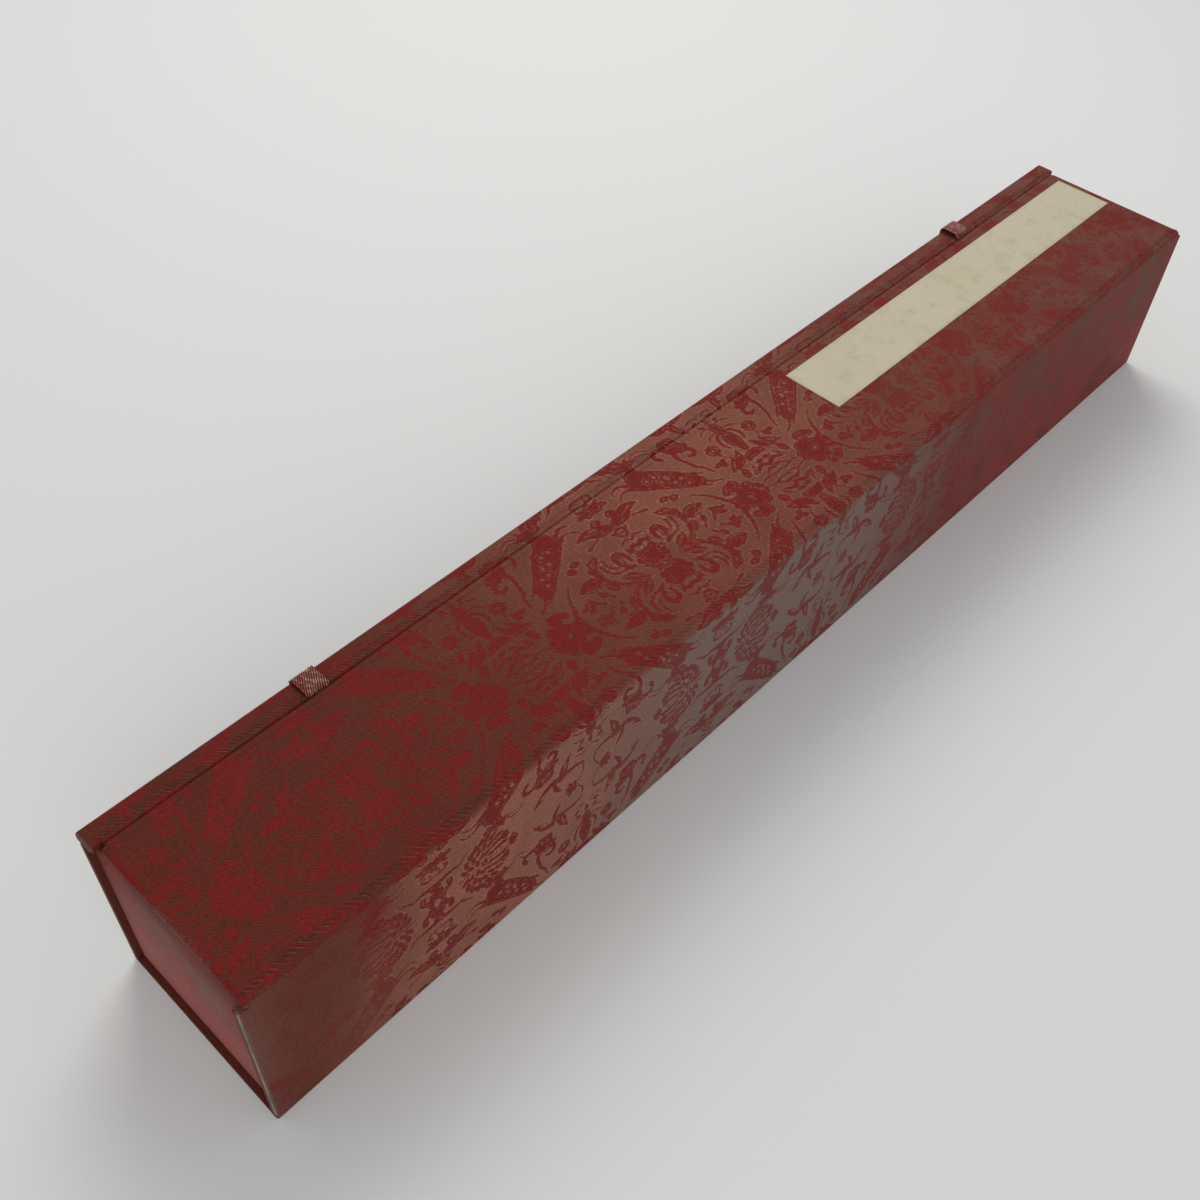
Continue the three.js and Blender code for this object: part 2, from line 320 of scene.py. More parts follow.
# The rosettes, star flowers and little blossoms inside the wreath.
flower(30.0, 11.7, 5.2, 3.6, 9, 0.10)
stroke((28.6, 9.4, 0.5), (32.0, 9.6, 0.8), (33.8, 11.0, 0.5), sunk=True)
leaf(34.6, 12.0, 3.6, 2.6, 10)
for ray_u, ray_v, ray_turn in (
    (35.2, 4.2, 30), (36.2, 6.6, 80), (38.6, 6.0, 140), (40.6, 4.6, 15),
    (37.6, 3.4, 95), (39.0, 2.6, 150),
):
    leaf(ray_u, ray_v, 4.2, 2.1, ray_turn)
flower(26.4, 24.4, 2.7, 1.8, 5, 0.16)
flower(30.4, 22.3, 2.3, 1.9, 5, 0.16)
leaf(29.0, 20.6, 3.0, 1.2, 150)

# The large side blossom and the stem of the wreath.
flower(54.0, 0, 7.4, 6.0)
blossom_lobes = (
    (50.6, 9.0, 3.2), (53.6, 10.0, 2.6), (54.4, 6.0, 3.4), (58.0, 5.2, 2.7),
    (60.8, 1.6, 2.4), (48.4, 2.6, 2.8), (47.8, 8.4, 1.9),
)
for lobe in blossom_lobes:
    flower(*lobe)
stroke((51.0, 0, 6.0), (45.4, 0, 3.0))
flower(53.7, 0, 1.0, sunk=True)
stroke((46.4, 6.4, 0.9), (48.4, 4.9, 1.2), (50.3, 6.0, 1.2), (49.8, 7.4, 0.8), sunk=True)
stroke((57.0, 9.0, 1.2), (55.6, 7.6, 0.5), sunk=True)
stroke(
    (47.2, 0.5, 3.4), (44.7, 5.5, 2.0), (43.0, 9.6, 1.7), (41.4, 12.6, 1.5),
    (39.0, 15.6, 1.2), (36.0, 18.5, 0.9),
)

# The deer, leaping towards the mirror line, with spots on its coat.
stroke((27.4, 38.6, 12.0), (33.0, 33.8, 11.8), (38.2, 29.0, 10.6), (43.0, 24.2, 9.0), (45.4, 21.4, 6.4))
stroke((27.0, 37.6, 7.0), (20.6, 37.4, 2.4))
stroke((28.6, 48.4, 6.4), (27.0, 44.0, 7.8), (27.4, 39.6, 11.0))
stroke((23.4, 49.0, 3.0), (26.4, 49.4, 4.2), (30.4, 49.4, 4.4), (34.0, 48.8, 1.8))
stroke((22.6, 45.0, 0.9), (26.4, 46.6, 0.9), sunk=True)
leaf(31.4, 51.6, 4.0, 1.6, 40)
stroke((33.4, 49.4, 0.9), (36.0, 52.0, 1.1), (40.0, 51.6, 1.1), (43.4, 49.4, 0.9))
stroke((33.8, 48.4, 0.8), (37.0, 49.8, 0.9), (41.0, 48.6, 0.9), (42.0, 46.4, 0.8))
stroke((21.0, 40.4, 2.0), (17.0, 42.6, 1.4), (13.2, 41.2, 1.0), (12.2, 39.4, 0.8))
stroke((21.2, 38.0, 1.8), (17.6, 38.6, 1.3), (14.6, 37.6, 1.2), (12.8, 35.8, 0.9))
stroke((46.0, 26.6, 2.4), (48.0, 25.6, 1.6), (50.2, 23.4, 0.9))
stroke((45.4, 23.2, 3.0), (47.6, 19.8, 1.6), (49.6, 17.2, 1.4), (53.6, 14.8, 1.2))
stroke((42.6, 20.8, 2.6), (45.2, 18.4, 1.5), (47.6, 16.2, 1.2))
for spot_u, spot_v in (
    (29.2, 36.4), (33.2, 36.2), (33.4, 31.8), (36.6, 32.8),
    (37.0, 31.2), (37.6, 27.6), (41.2, 27.6), (41.8, 23.6),
):
    flower(spot_u, spot_v, 0.9, sunk=True)

# The pair of birds above the roundel, the ring between them and the leaves over it.
stroke((2.4, 29.0, 4.8), (7.0, 30.2, 6.4), (11.6, 32.2, 4.8), (17.4, 31.8, 0.8))
flower(4.4, 34.2, 2.6, 2.1)
stroke((4.6, 33.6, 2.4), (4.6, 30.6, 3.6))
stroke((6.8, 30.0, 0.4), (13.2, 32.2, 0.8), sunk=True)
stroke((9.4, 27.2, 0.8), (11.6, 26.9, 1.1), (14.4, 26.1, 1.4))
leaf(16.0, 25.6, 4.0, 2.0, -18)
ring(0, 23.6, 2.4, 1.5)
flower(0, 23.6, 0.8)
leaf(3.6, 24.8, 2.8, 1.5, 50)
flower(2.6, 40.6, 3.4, 3.0, 5, 0.14)
leaf(6.2, 40.4, 4.4, 2.8, -15)
leaf(5.0, 43.4, 4.0, 2.0, 35)
leaf(0.8, 44.4, 3.0, 2.0, 90)
stroke((0, 49.2, 1.2), (3.6, 49.0, 1.6), (5.8, 47.0, 1.4), (4.0, 45.6, 1.2))
leaf(2.0, 46.8, 2.4, 1.3, 90)

# The flowering plant on the other mirror line, B, from its wavy ground up to its crown.
B = HALF_ALONG
stroke((B - 8.0, 6.8, 1.2), (B - 4.0, 9.0, 2.2), (B, 7.2, 2.0))
stroke((B - 6.2, 3.4, 1.0), (B - 2.6, 5.2, 1.7), (B, 4.6, 1.5))
stroke((B - 13.0, 1.0, 0.8), (B - 8.0, 2.4, 1.2), (B - 3.4, 1.4, 1.2), (B, 2.2, 1.0))
leaf(B - 2.2, 11.4, 4.4, 2.4, 10)
leaf(B - 12.4, 10.2, 6.4, 4.4, 70)
stroke((B - 10.4, 6.2, 0.8), (B - 8.6, 8.6, 1.2), (B - 6.4, 11.6, 1.0))
stroke((B - 16.2, 14.2, 0.8), (B - 12.2, 16.8, 3.4), (B - 8.8, 21.6, 0.9))
stroke((B - 12.4, 13.8, 1.0), (B - 7.8, 17.2, 4.4), (B - 4.4, 22.8, 1.0))
stroke((B - 5.4, 14.4, 1.4), (B - 2.6, 16.4, 4.4), (B, 16.6, 4.8))
stroke((B, 17.0, 4.0), (B, 21.0, 3.6), (B, 24.0, 5.0))
stroke((B - 4.0, 19.4, 0.9), (B, 19.2, 0.6), sunk=True)
flower(B, 28.4, 3.6, 5.8)
stroke((B - 1.2, 34.8, 1.4), (B - 4.6, 33.0, 1.7), (B - 6.0, 29.2, 1.6), (B - 5.2, 25.4, 1.2))
stroke((B, 34.0, 3.0), (B, 37.4, 5.6), (B, 41.8, 0.8))
stroke((B - 2.4, 40.0, 0.9), (B - 5.4, 40.6, 1.2), (B - 9.4, 38.4, 0.9))
stroke((B - 3.0, 36.2, 0.9), (B - 6.4, 35.6, 1.2), (B - 9.2, 33.4, 0.9))
leaf(B - 5.2, 45.8, 4.6, 2.4, 25)
leaf(B - 4.6, 42.4, 3.8, 2.0, -30)
leaf(B, 44.2, 4.6, 2.6, 90)
stroke((B - 1.2, 47.6, 1.0), (B - 4.2, 49.4, 1.2), (B - 7.6, 48.2, 1.0))
flower(63.7, 29.2, 3.8, 3.7, 7, 0.16, 20)
flower(63.7, 29.2, 0.7, sunk=True)
stroke((64.0, 26.2, 1.1), (64.4, 23.6, 1.0), (66.4, 21.2, 0.9))
leaf(58.6, 21.6, 5.0, 2.8, 10)
leaf(61.6, 22.0, 4.2, 2.8, 40)
leaf(61.0, 19.6, 3.6, 2.2, 10)

# The cloud scroll between the deer and the plant.
stroke((43.4, 40.8, 2.4), (41.9, 43.4, 2.2), (43.4, 46.0, 2.4), (46.8, 46.0, 2.6), (49.6, 43.6, 3.4))
for lobe in (
    (50.8, 46.6, 3.0), (54.2, 46.0, 3.0), (54.6, 42.6, 2.8), (51.2, 42.6, 3.4),
    (58.0, 40.6, 1.4),
):
    flower(*lobe)
flower(51.6, 45.6, 0.7, sunk=True)
stroke((53.0, 44.6, 0.4), (55.0, 44.4, 0.8), sunk=True)
stroke(
    (52.6, 42.0, 4.6), (53.8, 39.4, 3.4), (56.8, 38.4, 2.6), (58.0, 35.6, 2.4),
    (56.2, 33.4, 2.2), (53.8, 34.4, 1.8),
)
stroke(
    (51.0, 41.4, 3.4), (49.2, 37.0, 2.2), (50.2, 32.0, 2.0), (51.2, 28.2, 1.7),
    (53.2, 24.8, 1.5), (54.6, 20.0, 1.0),
)

# The round peony on the far mirror row: rings of separate slanting petals.
PEONY_U, PEONY_TALL = 22.4, 1.5
flower(PEONY_U, HALF_ACROSS, 1.8, 2.6, 5, 0.2)
PEONY_RINGS = ((3.8, 9, 5.0, 2.3, 40), (6.9, 15, 5.6, 2.5, 30), (9.8, 21, 6.0, 2.7, 35))
for out, petals, length, width, lean in PEONY_RINGS:
    for k in range(petals):
        way = 2 * math.pi * (k + 0.3) / petals
        du, dv = math.cos(way), PEONY_TALL * math.sin(way)
        turn = math.degrees(math.atan2(dv, du)) + lean
        leaf(PEONY_U + out * du, HALF_ACROSS + out * dv, length, width, turn)
stroke((31.6, 57.0, 1.0), (32.6, 59.8, 4.2), (33.4, 62.4, 1.0))
stroke((36.4, 63.4, 1.2), (36.6, 67.0, 5.4))

# The knotted bow on the mirror line and the four birds on the far row, each with a branch and a bud.
flower(0, 59.6, 3.4, 5.2, 6, 0.10)
stroke((0.6, 61.4, 4.4), (3.8, 63.0, 3.2), (6.2, 61.2, 2.6), (6.0, 58.6, 3.4))
flower(2.6, 65.2, 1.8)
stroke(
    (0.6, 55.0, 3.4), (4.6, 54.2, 2.4), (7.6, 54.2, 2.0), (10.6, 54.4, 1.6),
    (13.2, 52.2, 1.3), (16.4, 50.2, 0.8),
)
stroke((1.6, 58.0, 0.5), (3.0, 58.8, 1.0), sunk=True)
stroke((B - 14.4, 54.4, 3.6), (B - 8.0, 54.0, 2.2), (B - 3.4, 55.4, 1.6))
stroke((B - 14.6, 54.6, 4.0), (B - 13.4, 49.6, 4.4), (B - 11.6, 45.6, 2.2), (B - 10.4, 43.2, 0.9))
stroke((B - 13.6, 51.4, 0.3), (B - 12.6, 47.4, 0.9), sunk=True)
stroke((B - 15.0, 54.4, 3.4), (B - 20.0, 53.6, 4.0), (B - 24.6, 57.0, 3.8), (B - 28.4, 60.6, 1.4))
stroke((B - 19.4, 54.8, 0.5), (B - 24.6, 57.6, 1.3), sunk=True)
stroke((B - 18.2, 56.0, 2.0), (B - 17.2, 59.4, 2.6), (B - 14.8, 62.8, 1.2))
stroke((B - 3.2, 55.4, 1.1), (B - 3.0, 60.6, 1.1), (B - 5.4, 65.6, 1.1))
leaf(B - 9.6, 64.6, 5.6, 2.2, 60)
leaf(B - 7.2, 65.4, 5.4, 2.0, 75)
leaf(B - 10.8, 66.4, 5.0, 2.0, 50)
leaf(B - 8.6, 67.0, 6.0, 1.9, 85)


def figure_at(along, across):
    """How far a place on the cloth lies outside the woven figure, in millimetres."""
    u = np.abs((along - MIRROR_ALONG + HALF_ALONG) % (2 * HALF_ALONG) - HALF_ALONG) / FIGURE_STEP
    v = np.abs((across - MIRROR_ACROSS + HALF_ACROSS) % (2 * HALF_ACROSS) - HALF_ACROSS) / FIGURE_STEP
    i = np.minimum(u.astype(int), figure.shape[0] - 2)
    j = np.minimum(v.astype(int), figure.shape[1] - 2)
    s, t = u - i, v - j
    low = figure[i, j] * (1 - s) + figure[i + 1, j] * s
    high = figure[i, j + 1] * (1 - s) + figure[i + 1, j + 1] * s
    return low * (1 - t) + high * t


CASE_LENGTH, CASE_WIDTH, CASE_HEIGHT = 606.0, 87.0, 88.0


def fading_and_painted_light(along, across):
    """How far the cloth has paled to light brown and turned greyish, both partly painted sheen and
    reflection;
    worn to one even tone; turned pink, on the end walls painted sheen and painted light growing towards their
    bottom;
    darkened on the end faces of base and front, partly soiling and partly painted shade; and how much of the
    red is left where it is worn. Run counts from the near end, depth from the ridge."""

    def rise(value, start, end):
        t = np.clip((value - start) / (end - start), 0, 1)
        return t * t * (3 - 2 * t)

    run, depth = along + CASE_LENGTH / 2, across - CASE_WIDTH
    back_share = rise(depth, -2.5, 3.0)
    underneath = depth > CASE_HEIGHT + 2
    # Light brown on top and back: partly fade, partly painted sheen where the satin ground caught the light,
    # in the middle of the top and on the near part of the back.
    on_top = 0.6 * rise(run, 90, 275) * (1 - 0.55 * rise(run, 310, 420)) * (1 - 0.35 * rise(across, 38, 60))
    on_back = 0.81 * rise(run + 0.4 * depth, 40, 110) * (1 - rise(run, 130, 260))
    on_back += 0.16 + 0.02 * rise(run, 130, 260)
    tan_and_sheen = np.where(underneath, 0.2, on_top * (1 - back_share) + on_back * back_share)
    low_down = rise(depth, 35, 75)
    near_edge = 0.14 * np.exp(-((run / 9.0) ** 2))
    past_end = np.maximum(-run, run - CASE_LENGTH)
    off_end = past_end > 1
    far_corner = 0.9 * np.exp(-((run - CASE_LENGTH) ** 2 + (depth - CASE_HEIGHT) ** 2) / 64.0)
    # Greyish tone: on the back from about run 110 to 430 it is painted reflection, a bluish sheen; near_edge,
    # far_corner and far_bloom are bloom and wear of the cloth.
    grey_sheen_and_bloom = 0.9 * rise(run, 110, 230) * (1 - rise(run, 300, 430))
    far_bloom = 0.10 * rise(run, 300, 400) * (1 - 0.7 * low_down)
    grey_sheen_and_bloom = back_share * np.maximum.reduce([grey_sheen_and_bloom, near_edge, far_corner, far_bloom]) * ~underneath
    # lid_edge: along the lid's rolled near edge, partly wear and partly painted sheen.
    lid_edge = 0.42 * np.exp(-(((run - 2.0) / 1.8) ** 2)) * rise(across, 28, 44) * (1 - rise(across, 60, 80))
    grey_sheen_and_bloom += (0.14 * rise(run, 300, 450) + lid_edge) * (1 - back_share)
    worn_back = 0.8 * (1 - rise(run, 25, 75)) + 0.85 * rise(run, 330, 470)
    worn_top = np.maximum(0.06 + 0.32 * rise(run, 300, 450), lid_edge)
    even = np.where(underneath, 0.2, worn_top * (1 - back_share) + worn_back * back_share)
    # Past the ends: on the end walls the light brown and greyish tones are painted sheen, and the pink grows
    # towards their bottom as painted light against the shade there.
    tan_and_sheen = np.where(off_end, np.where(underneath, 0.05, 0.45 * rise(past_end, 2, 20)), tan_and_sheen)
    grey_sheen_and_bloom = np.where(off_end, np.where(underneath, 0.0, 0.3 * rise(past_end, 4, 34)), grey_sheen_and_bloom)
    wall_painted_light = 0.98 * np.clip((past_end - 2.0) / 78.0, 0, 1)
    far_blush = (0.13 + 0.10 * low_down) * rise(run, 330, 470) * back_share
    blush_and_painted_light = np.where(off_end, wall_painted_light, far_blush) * ~underneath
    # The end faces of base and front are darkened: partly soiling, partly painted shade of the gap beside the
    # end walls.
    soil_and_end_shade = 0.22 * off_end * underneath
    redness = 0.09 * rise(run, 330, 430) * low_down - 0.15 * (1 - rise(run, 20, 90))
    return tan_and_sheen, grey_sheen_and_bloom, np.where(off_end, 0.9, even), blush_and_painted_light, soil_and_end_shade, redness * back_share


CLOTH_KEYS = ("figure", "rubbed", "faded_and_sheen", "bloomed_and_sheen", "evened", "blushed_and_lit", "soiled_and_shaded", "reddened")
damask = Finish("damask", Specular_IOR_Level=0.30, IOR=1.20, Specular_Tint=(1.0, 0.80, 0.66, 1.0))
cloth_uv = damask.cloth_place()
edge, rub, tan_and_sheen, grey_sheen_and_bloom, even, blush_and_painted_light, soil_and_end_shade, red = (damask.attribute(key) for key in CLOTH_KEYS)

# Its twill and weft threads, which also make the figure's edges ragged where the cloth is less light brown
# from fade and painted sheen.
TWILL_TURN, TWILL_PITCH = 0.76, 1.05
twill_normal = (-math.cos(TWILL_TURN), math.sin(TWILL_TURN), 0.0)
twill_way = damask.node("VectorMath", 1, {"operation": "DOT_PRODUCT"}, _0=cloth_uv, _1=twill_normal)
twill = (twill_way * (2 * math.pi / TWILL_PITCH)).math("SINE")
weft = cloth_uv.stretched((3.0, 0.5, 1.0), -TWILL_TURN).noise(1.0, 3.0, 0.6)
jitter = cloth_uv.noise(1.5, 3.0, 0.6) - 1.55 + weft * 2.1 + twill * 0.16
ragged_edge = jitter * tan_and_sheen.step(0.05, 0.45, 1.8, 1.0) + edge + 0.1
figure_mask = ragged_edge.step(0.24, -0.24)
thread_shade = cloth_uv.noise(1.6, 3.0, 0.75).step(0.30, 0.70, 0.78, 1.22)
thread_shade *= weft.step(0.28, 0.72, 0.74, 1.26)
thread_shade *= twill * even.step(0.2, 0.9, 0.05, 0.16) + 1.0

# The broken pale threads that outline the figure and run inside it as veins.
line_edge = cloth_uv.noise(0.7, 2.0) * 0.9 + edge - 0.35
rim = abs(line_edge - 0.50).step(0.25, 0.07)
rim *= cloth_uv.noise(0.75, 2.0).step(0.42, 0.58)
vein = abs(line_edge + 1.15).step(0.26, 0.08)
vein *= cloth_uv.noise(0.30, 2.0).step(0.44, 0.56)
pale_share = rim.math("MAXIMUM", vein * 0.6)
pale_share *= tan_and_sheen.step(0.20, 0.55, 0.02, 0.72)
pale_share *= 1.0 - even

# Ground and figure, each paled by its place, partly by fade and partly with painted sheen and reflection, and
# soft red patches where the weave is worn even.
GREY_TONE = (0.185, 0.122, 0.104, 1)
patch = (cloth_uv.noise(0.042, 3.0, 0.5) + red).step(0.40, 0.60)
mottle = cloth_uv.noise(0.045, 4.0, 0.6)
ground_tone = mottle.mix((0.087, 0.0175, 0.0112, 1), (0.108, 0.024, 0.0150, 1))
tan_and_sheen_share = tan_and_sheen * mottle.step(0.34, 0.66, 0.82, 1.14)
ground_tone = tan_and_sheen_share.mix(ground_tone, (0.265, 0.097, 0.061, 1))
# The greyish tone in ground and figure: mostly painted reflection and sheen, partly bloom.
grey_patch = even.between(1.0, patch.step(0.0, 1.0, 1.8, 0.4))
ground_tone = (grey_sheen_and_bloom * grey_patch).mix(ground_tone, GREY_TONE)
figure_tone = mottle.mix((0.142, 0.0118, 0.0108, 1), (0.176, 0.0162, 0.0145, 1))
figure_tone = (grey_sheen_and_bloom * even.between(0.22, 0.75)).mix(figure_tone, GREY_TONE)
seen_figure = even.between(figure_mask, patch)
cloth_tone = seen_figure.mix(ground_tone, figure_tone)
cloth_tone = pale_share.mix(cloth_tone, (0.30, 0.17, 0.122, 1))

# The pink of the end walls with its ribs, painted sheen and painted light that grows towards their bottom;
# the dark end faces of base and front, partly soiling and partly painted shade; thread shade, and edges
# rubbed down to the core.
WALL_RIB_PITCH = 2.2
wall_way = damask.node("SeparateXYZ", 1, Vector=cloth_uv)
wall_rib = (wall_way * (2 * math.pi / WALL_RIB_PITCH)).math("SINE")
wall_rib *= blush_and_painted_light.step(0.36, 0.50)
blush_light_patch = patch.between(blush_and_painted_light.step(0.36, 0.66, 0.1, 0.8), 1.12)
# Painted light: the pink on the end walls, strongest at their bottom, with their ribs.
cloth_tone = ((wall_rib * 0.42 + blush_light_patch) * blush_and_painted_light).mix(cloth_tone, (0.36, 0.098, 0.089, 1))
# Painted shade with some soiling: the dark end faces of base and front.
cloth_tone = soil_and_end_shade.mix(cloth_tone, (0.040, 0.017, 0.013, 1))
threads = damask.node("CombineColor", _0=thread_shade, _1=thread_shade, _2=thread_shade)
cloth_tone = damask.mix(1.0, cloth_tone, threads, "MULTIPLY")
rub_depth = rub * (cloth_uv.noise(0.55, 4.0, 0.65) + 0.25)
cloth_tone = rub_depth.step(0.20, 0.55).mix(cloth_tone, (0.125, 0.085, 0.062, 1))
core_rub = rub * (cloth_uv.noise(0.08, 3.0) * 0.28 + 0.86)
cloth_tone = core_rub.step(1.0, 1.14).mix(cloth_tone, (0.33, 0.225, 0.175, 1))
damask.finish(
    Base_Color=cloth_tone,
    Roughness=even.between(figure_mask.step(0.0, 1.0, 0.42, 0.60), 0.66),
    Normal=(twill * 0.22 + seen_figure * 0.5 + weft * 1.5 + wall_rib * 0.5).relief(0.00011),
    Sheen_Weight=0.04,
    Sheen_Roughness=0.35,
    Sheen_Tint=(1.0, 0.86, 0.76, 1.0),
)

# The base: a pasteboard panel under damask that lies on the resting face and carries the four walls.
# The cloth is drawn round its edges and turned in over the top, where the walls stand on it.
PANEL, BOARD_GAP = 3.5, 0.12
TURN_DEPTH = PANEL - BOARD_GAP
SHARP = 0.12
INNER_BEND = 0.4
OVER_STEPS, UNDER_STEPS = 5, 4
SWELL_MARGIN, SWELL_RUN = 5.0, 8.0
RUB_MIDDLE, RUB_REACH = 0.1, 1.1
SAME_SPOT = 1e-6
X, Y, Z = np.eye(3)


def rolled_edge(radius, thick):
    """Steps out, down and along the cloth, where it is rolled over a board's edge and turned in."""
    bend = min(INNER_BEND, thick - radius)
    side = thick - radius - bend
    over, under = (np.linspace(0, math.pi / 2, steps) for steps in (OVER_STEPS, UNDER_STEPS))
    out = np.append(radius * np.sin(over), radius - bend * (1 - np.cos(under)))
    drop = np.append(radius * (1 - np.cos(over)), radius + side + bend * np.sin(under))
    along = np.append(radius * over, radius * math.pi / 2 + side + bend * under)
    return np.array([out, drop, along])


def unevenness(along, across):
    """The slight swell of pasted cloth over board, between about -1 and 1."""
    swell = np.sin(along * 0.031 + 0.7) * np.sin(across * 0.083 + 0.2)
    swell += 0.6 * np.sin(along * 0.087 + across * 0.045 + 1.9)
    swell += 0.4 * np.sin(along * 0.21 - across * 0.17 + 0.4)
    return swell / 2.0


def quads(low, high):
    """The faces between rows of points and the rows beside them."""
    return np.stack([low[:, :-1], high[:, :-1], high[:, 1:], low[:, 1:]], -1).reshape(-1, 4).tolist()


def both(p, q):
    """Two values, one for each way on a panel, for use on a grid."""
    return np.array([p, q]).reshape(2, 1, 1)


def covered_panel(name, corner, p_way, q_way, size, *, radii, cell, turn_in, pattern, rub, swell, thick):
    """A closed panel under cloth, from its outer corner: a fine outer face, rolled edges, a turned-in back.
    radii and rub go round as low p, high p, low q, high q.
    pattern gives the cloth's start and way in p and in q."""
    edges = [rolled_edge(max(r, SHARP), thick) for r in radii]
    rings = edges[0].shape[1] - 1
    whole, start = both(*size), both(*radii[::2])
    flat = whole - start - both(*radii[1::2])
    steps = np.maximum(2, np.round(flat / cell)).astype(int)
    index = np.indices((2 * rings + steps + 1).ravel())
    low, high = np.maximum(rings - index, 0), np.maximum(index - rings - steps, 0)
    over = low + high
    ring_of = over.max(0)
    lesser = over.min(0) / np.maximum(ring_of, 1)
    angle = np.where(over[0] >= over[1], math.pi / 4 * lesser, math.pi / 2 - math.pi / 4 * lesser)
    share = angle / (math.pi / 2)
    edge_p = np.where(low[0] > 0, edges[0][:, ring_of], edges[1][:, ring_of])
    edge_q = np.where(low[1] > 0, edges[2][:, ring_of], edges[3][:, ring_of])
    out, drop, along = edge_p * (1 - share) + edge_q * share
    lean = np.where(low > 0, -1, 1) * np.array([np.cos(angle), np.sin(angle)])
    on_flat = start + np.clip(index - rings, 0, steps) / steps * flat
    place, cloth = on_flat + out * lean, on_flat + along * lean
    cloth_way = both(*pattern[1::2])
    across, length = both(*pattern[::2]) + cloth_way * cloth
    margin = np.minimum(place, whole - place).min(0)
    lift = swell * unevenness(length, across) * np.clip((margin - SWELL_MARGIN) / SWELL_RUN, 0, 1) - drop
    rubbed = np.zeros(lift.shape)
    for depth, how in zip((cloth[0], size[0] - cloth[0], cloth[1], size[1] - cloth[1]), rub):
        rubbed = np.maximum(rubbed, how * np.exp(-(((depth - RUB_MIDDLE) / RUB_REACH) ** 2)))

    outer = lift.size
    number = np.arange(outer).reshape(lift.shape)
    faces = quads(number[:-1], number[1:])
    loop = np.concatenate([number[:-1, 0], number[-1, :-1], number[:0:-1, -1], number[0, :0:-1]])
    points = np.stack([*place, lift], -1).reshape(-1, 3)
    values = np.stack([across, length, rubbed], -1).reshape(-1, 3)
    inner, inner_values = points[loop], values[loop]
    inner[:, :2] = np.clip(inner[:, :2], turn_in, np.array(size) - turn_in)
    inner_values[:, :2] += cloth_way.ravel() * (points[loop, :2] - inner[:, :2])
    keep = np.any(np.abs(inner - np.roll(inner, 1, 0)) > SAME_SPOT, axis=1)
    last = outer + keep.sum() - 1
    inner_number = outer + np.cumsum(keep) - 1
    inner_number[inner_number < outer] = last
    for a, b, d, c in zip(loop, np.roll(loop, -1), inner_number, np.roll(inner_number, -1)):
        faces.append([b, a, d] if c == d else [b, a, d, c])
    faces.append(range(last, outer - 1, -1))
    points = np.vstack([points, inner[keep]])
    values = np.vstack([values, inner_values[keep]])
    p, q, w = points.T[:, :, None]
    spot = np.array(corner) + p * p_way + q * q_way + w * np.cross(p_way, q_way)
    return cloth_piece(name, spot, faces, *values.T)


def put(mesh, key, value):
    """Stores a number on every point of a mesh."""
    mesh.attributes.new(key, "FLOAT", "POINT").data.foreach_set("value", value.astype(np.float32))


def cloth_piece(name, place, faces, across, along, rubbed):
    """A mesh in place, with the cloth's own measure as its UV map and the woven figure and rubbing on it."""
    mesh = bpy.data.meshes.new(name)
    mesh.from_pydata((place * MM).tolist(), [], [[int(v) for v in face] for face in faces])
    for key, value in zip(CLOTH_KEYS, [figure_at(along, across), rubbed, *fading_and_painted_light(along, across)]):
        put(mesh, key, value)
    corner_of = np.zeros(len(mesh.loops), np.int32)
    mesh.loops.foreach_get("vertex_index", corner_of)
    measure = np.stack([across, along], -1)[corner_of].astype(np.float32)
    mesh.uv_layers.new(name="cloth").data.foreach_set("uv", measure.ravel())
    mesh.shade_smooth()
    return into_scene(name, mesh)


def attached(piece, body, slot, *nodes):
    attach(piece, body)
    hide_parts(*nodes)


def covered(part, body, *place, swell=0.10, **measures):
    """A board's damask cover."""
    cloth = covered_panel(part + "_cloth", *place, swell=swell, thick=TURN_DEPTH, **measures)
    cloth.data.materials.append(damask.material)
    attached(cloth, body, "damask", part + "_cover")


pasteboard = Finish("pasteboard", Roughness=0.9)
board_grain = pasteboard.object_place().stretched((400, 60, 400)).noise(1.0, 4.0, 0.6)
board_tone = board_grain.mix((0.26, 0.24, 0.20, 1), (0.36, 0.33, 0.28, 1))
pasteboard.finish(Base_Color=board_tone, Normal=board_grain.relief(0.0002))
for node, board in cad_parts.items():
    if node.endswith("_board"):
        board.data.materials.clear()
        board.data.materials.append(pasteboard.material)

lining_cloth = Finish("lining_cloth", Roughness=0.75, Sheen_Weight=0.15, Sheen_Roughness=0.4)
lining_uv = lining_cloth.cloth_place()
lining_warp = lining_uv.stretched((3.2, 0.22, 1)).noise(1.0, 3.0, 0.6)
lining_weft = lining_uv.stretched((0.22, 3.2, 1)).noise(1.0, 3.0, 0.6)
lining_weave = lining_warp + lining_weft
lining_stain = lining_uv.noise(0.02, 5.0, 0.6)
lining_tone = lining_stain.mix((0.52, 0.45, 0.32, 1), (0.62, 0.56, 0.42, 1))
lining_tone = lining_weave.step(0.7, 1.3).mix((0.42, 0.36, 0.25, 1), lining_tone)
lining_cloth.finish(Base_Color=lining_tone, Normal=lining_weave.relief(0.00012))


def lined(part, body, *place):
    """A lining: a thin sheet pasted on the inside of a board, over the turned-in damask."""
    form = {"radii": (SHARP,) * 4, "thick": 0.55, "cell": 4.0, "turn_in": 1.0, "swell": 0.03}
    sheet = covered_panel(part + "_lining_cloth", *place, pattern=(0, 1, 0, 1), rub=(0,) * 4, **form)
    sheet.data.materials.append(lining_cloth.material)
    attached(sheet, body, "lining", part + "_lining")


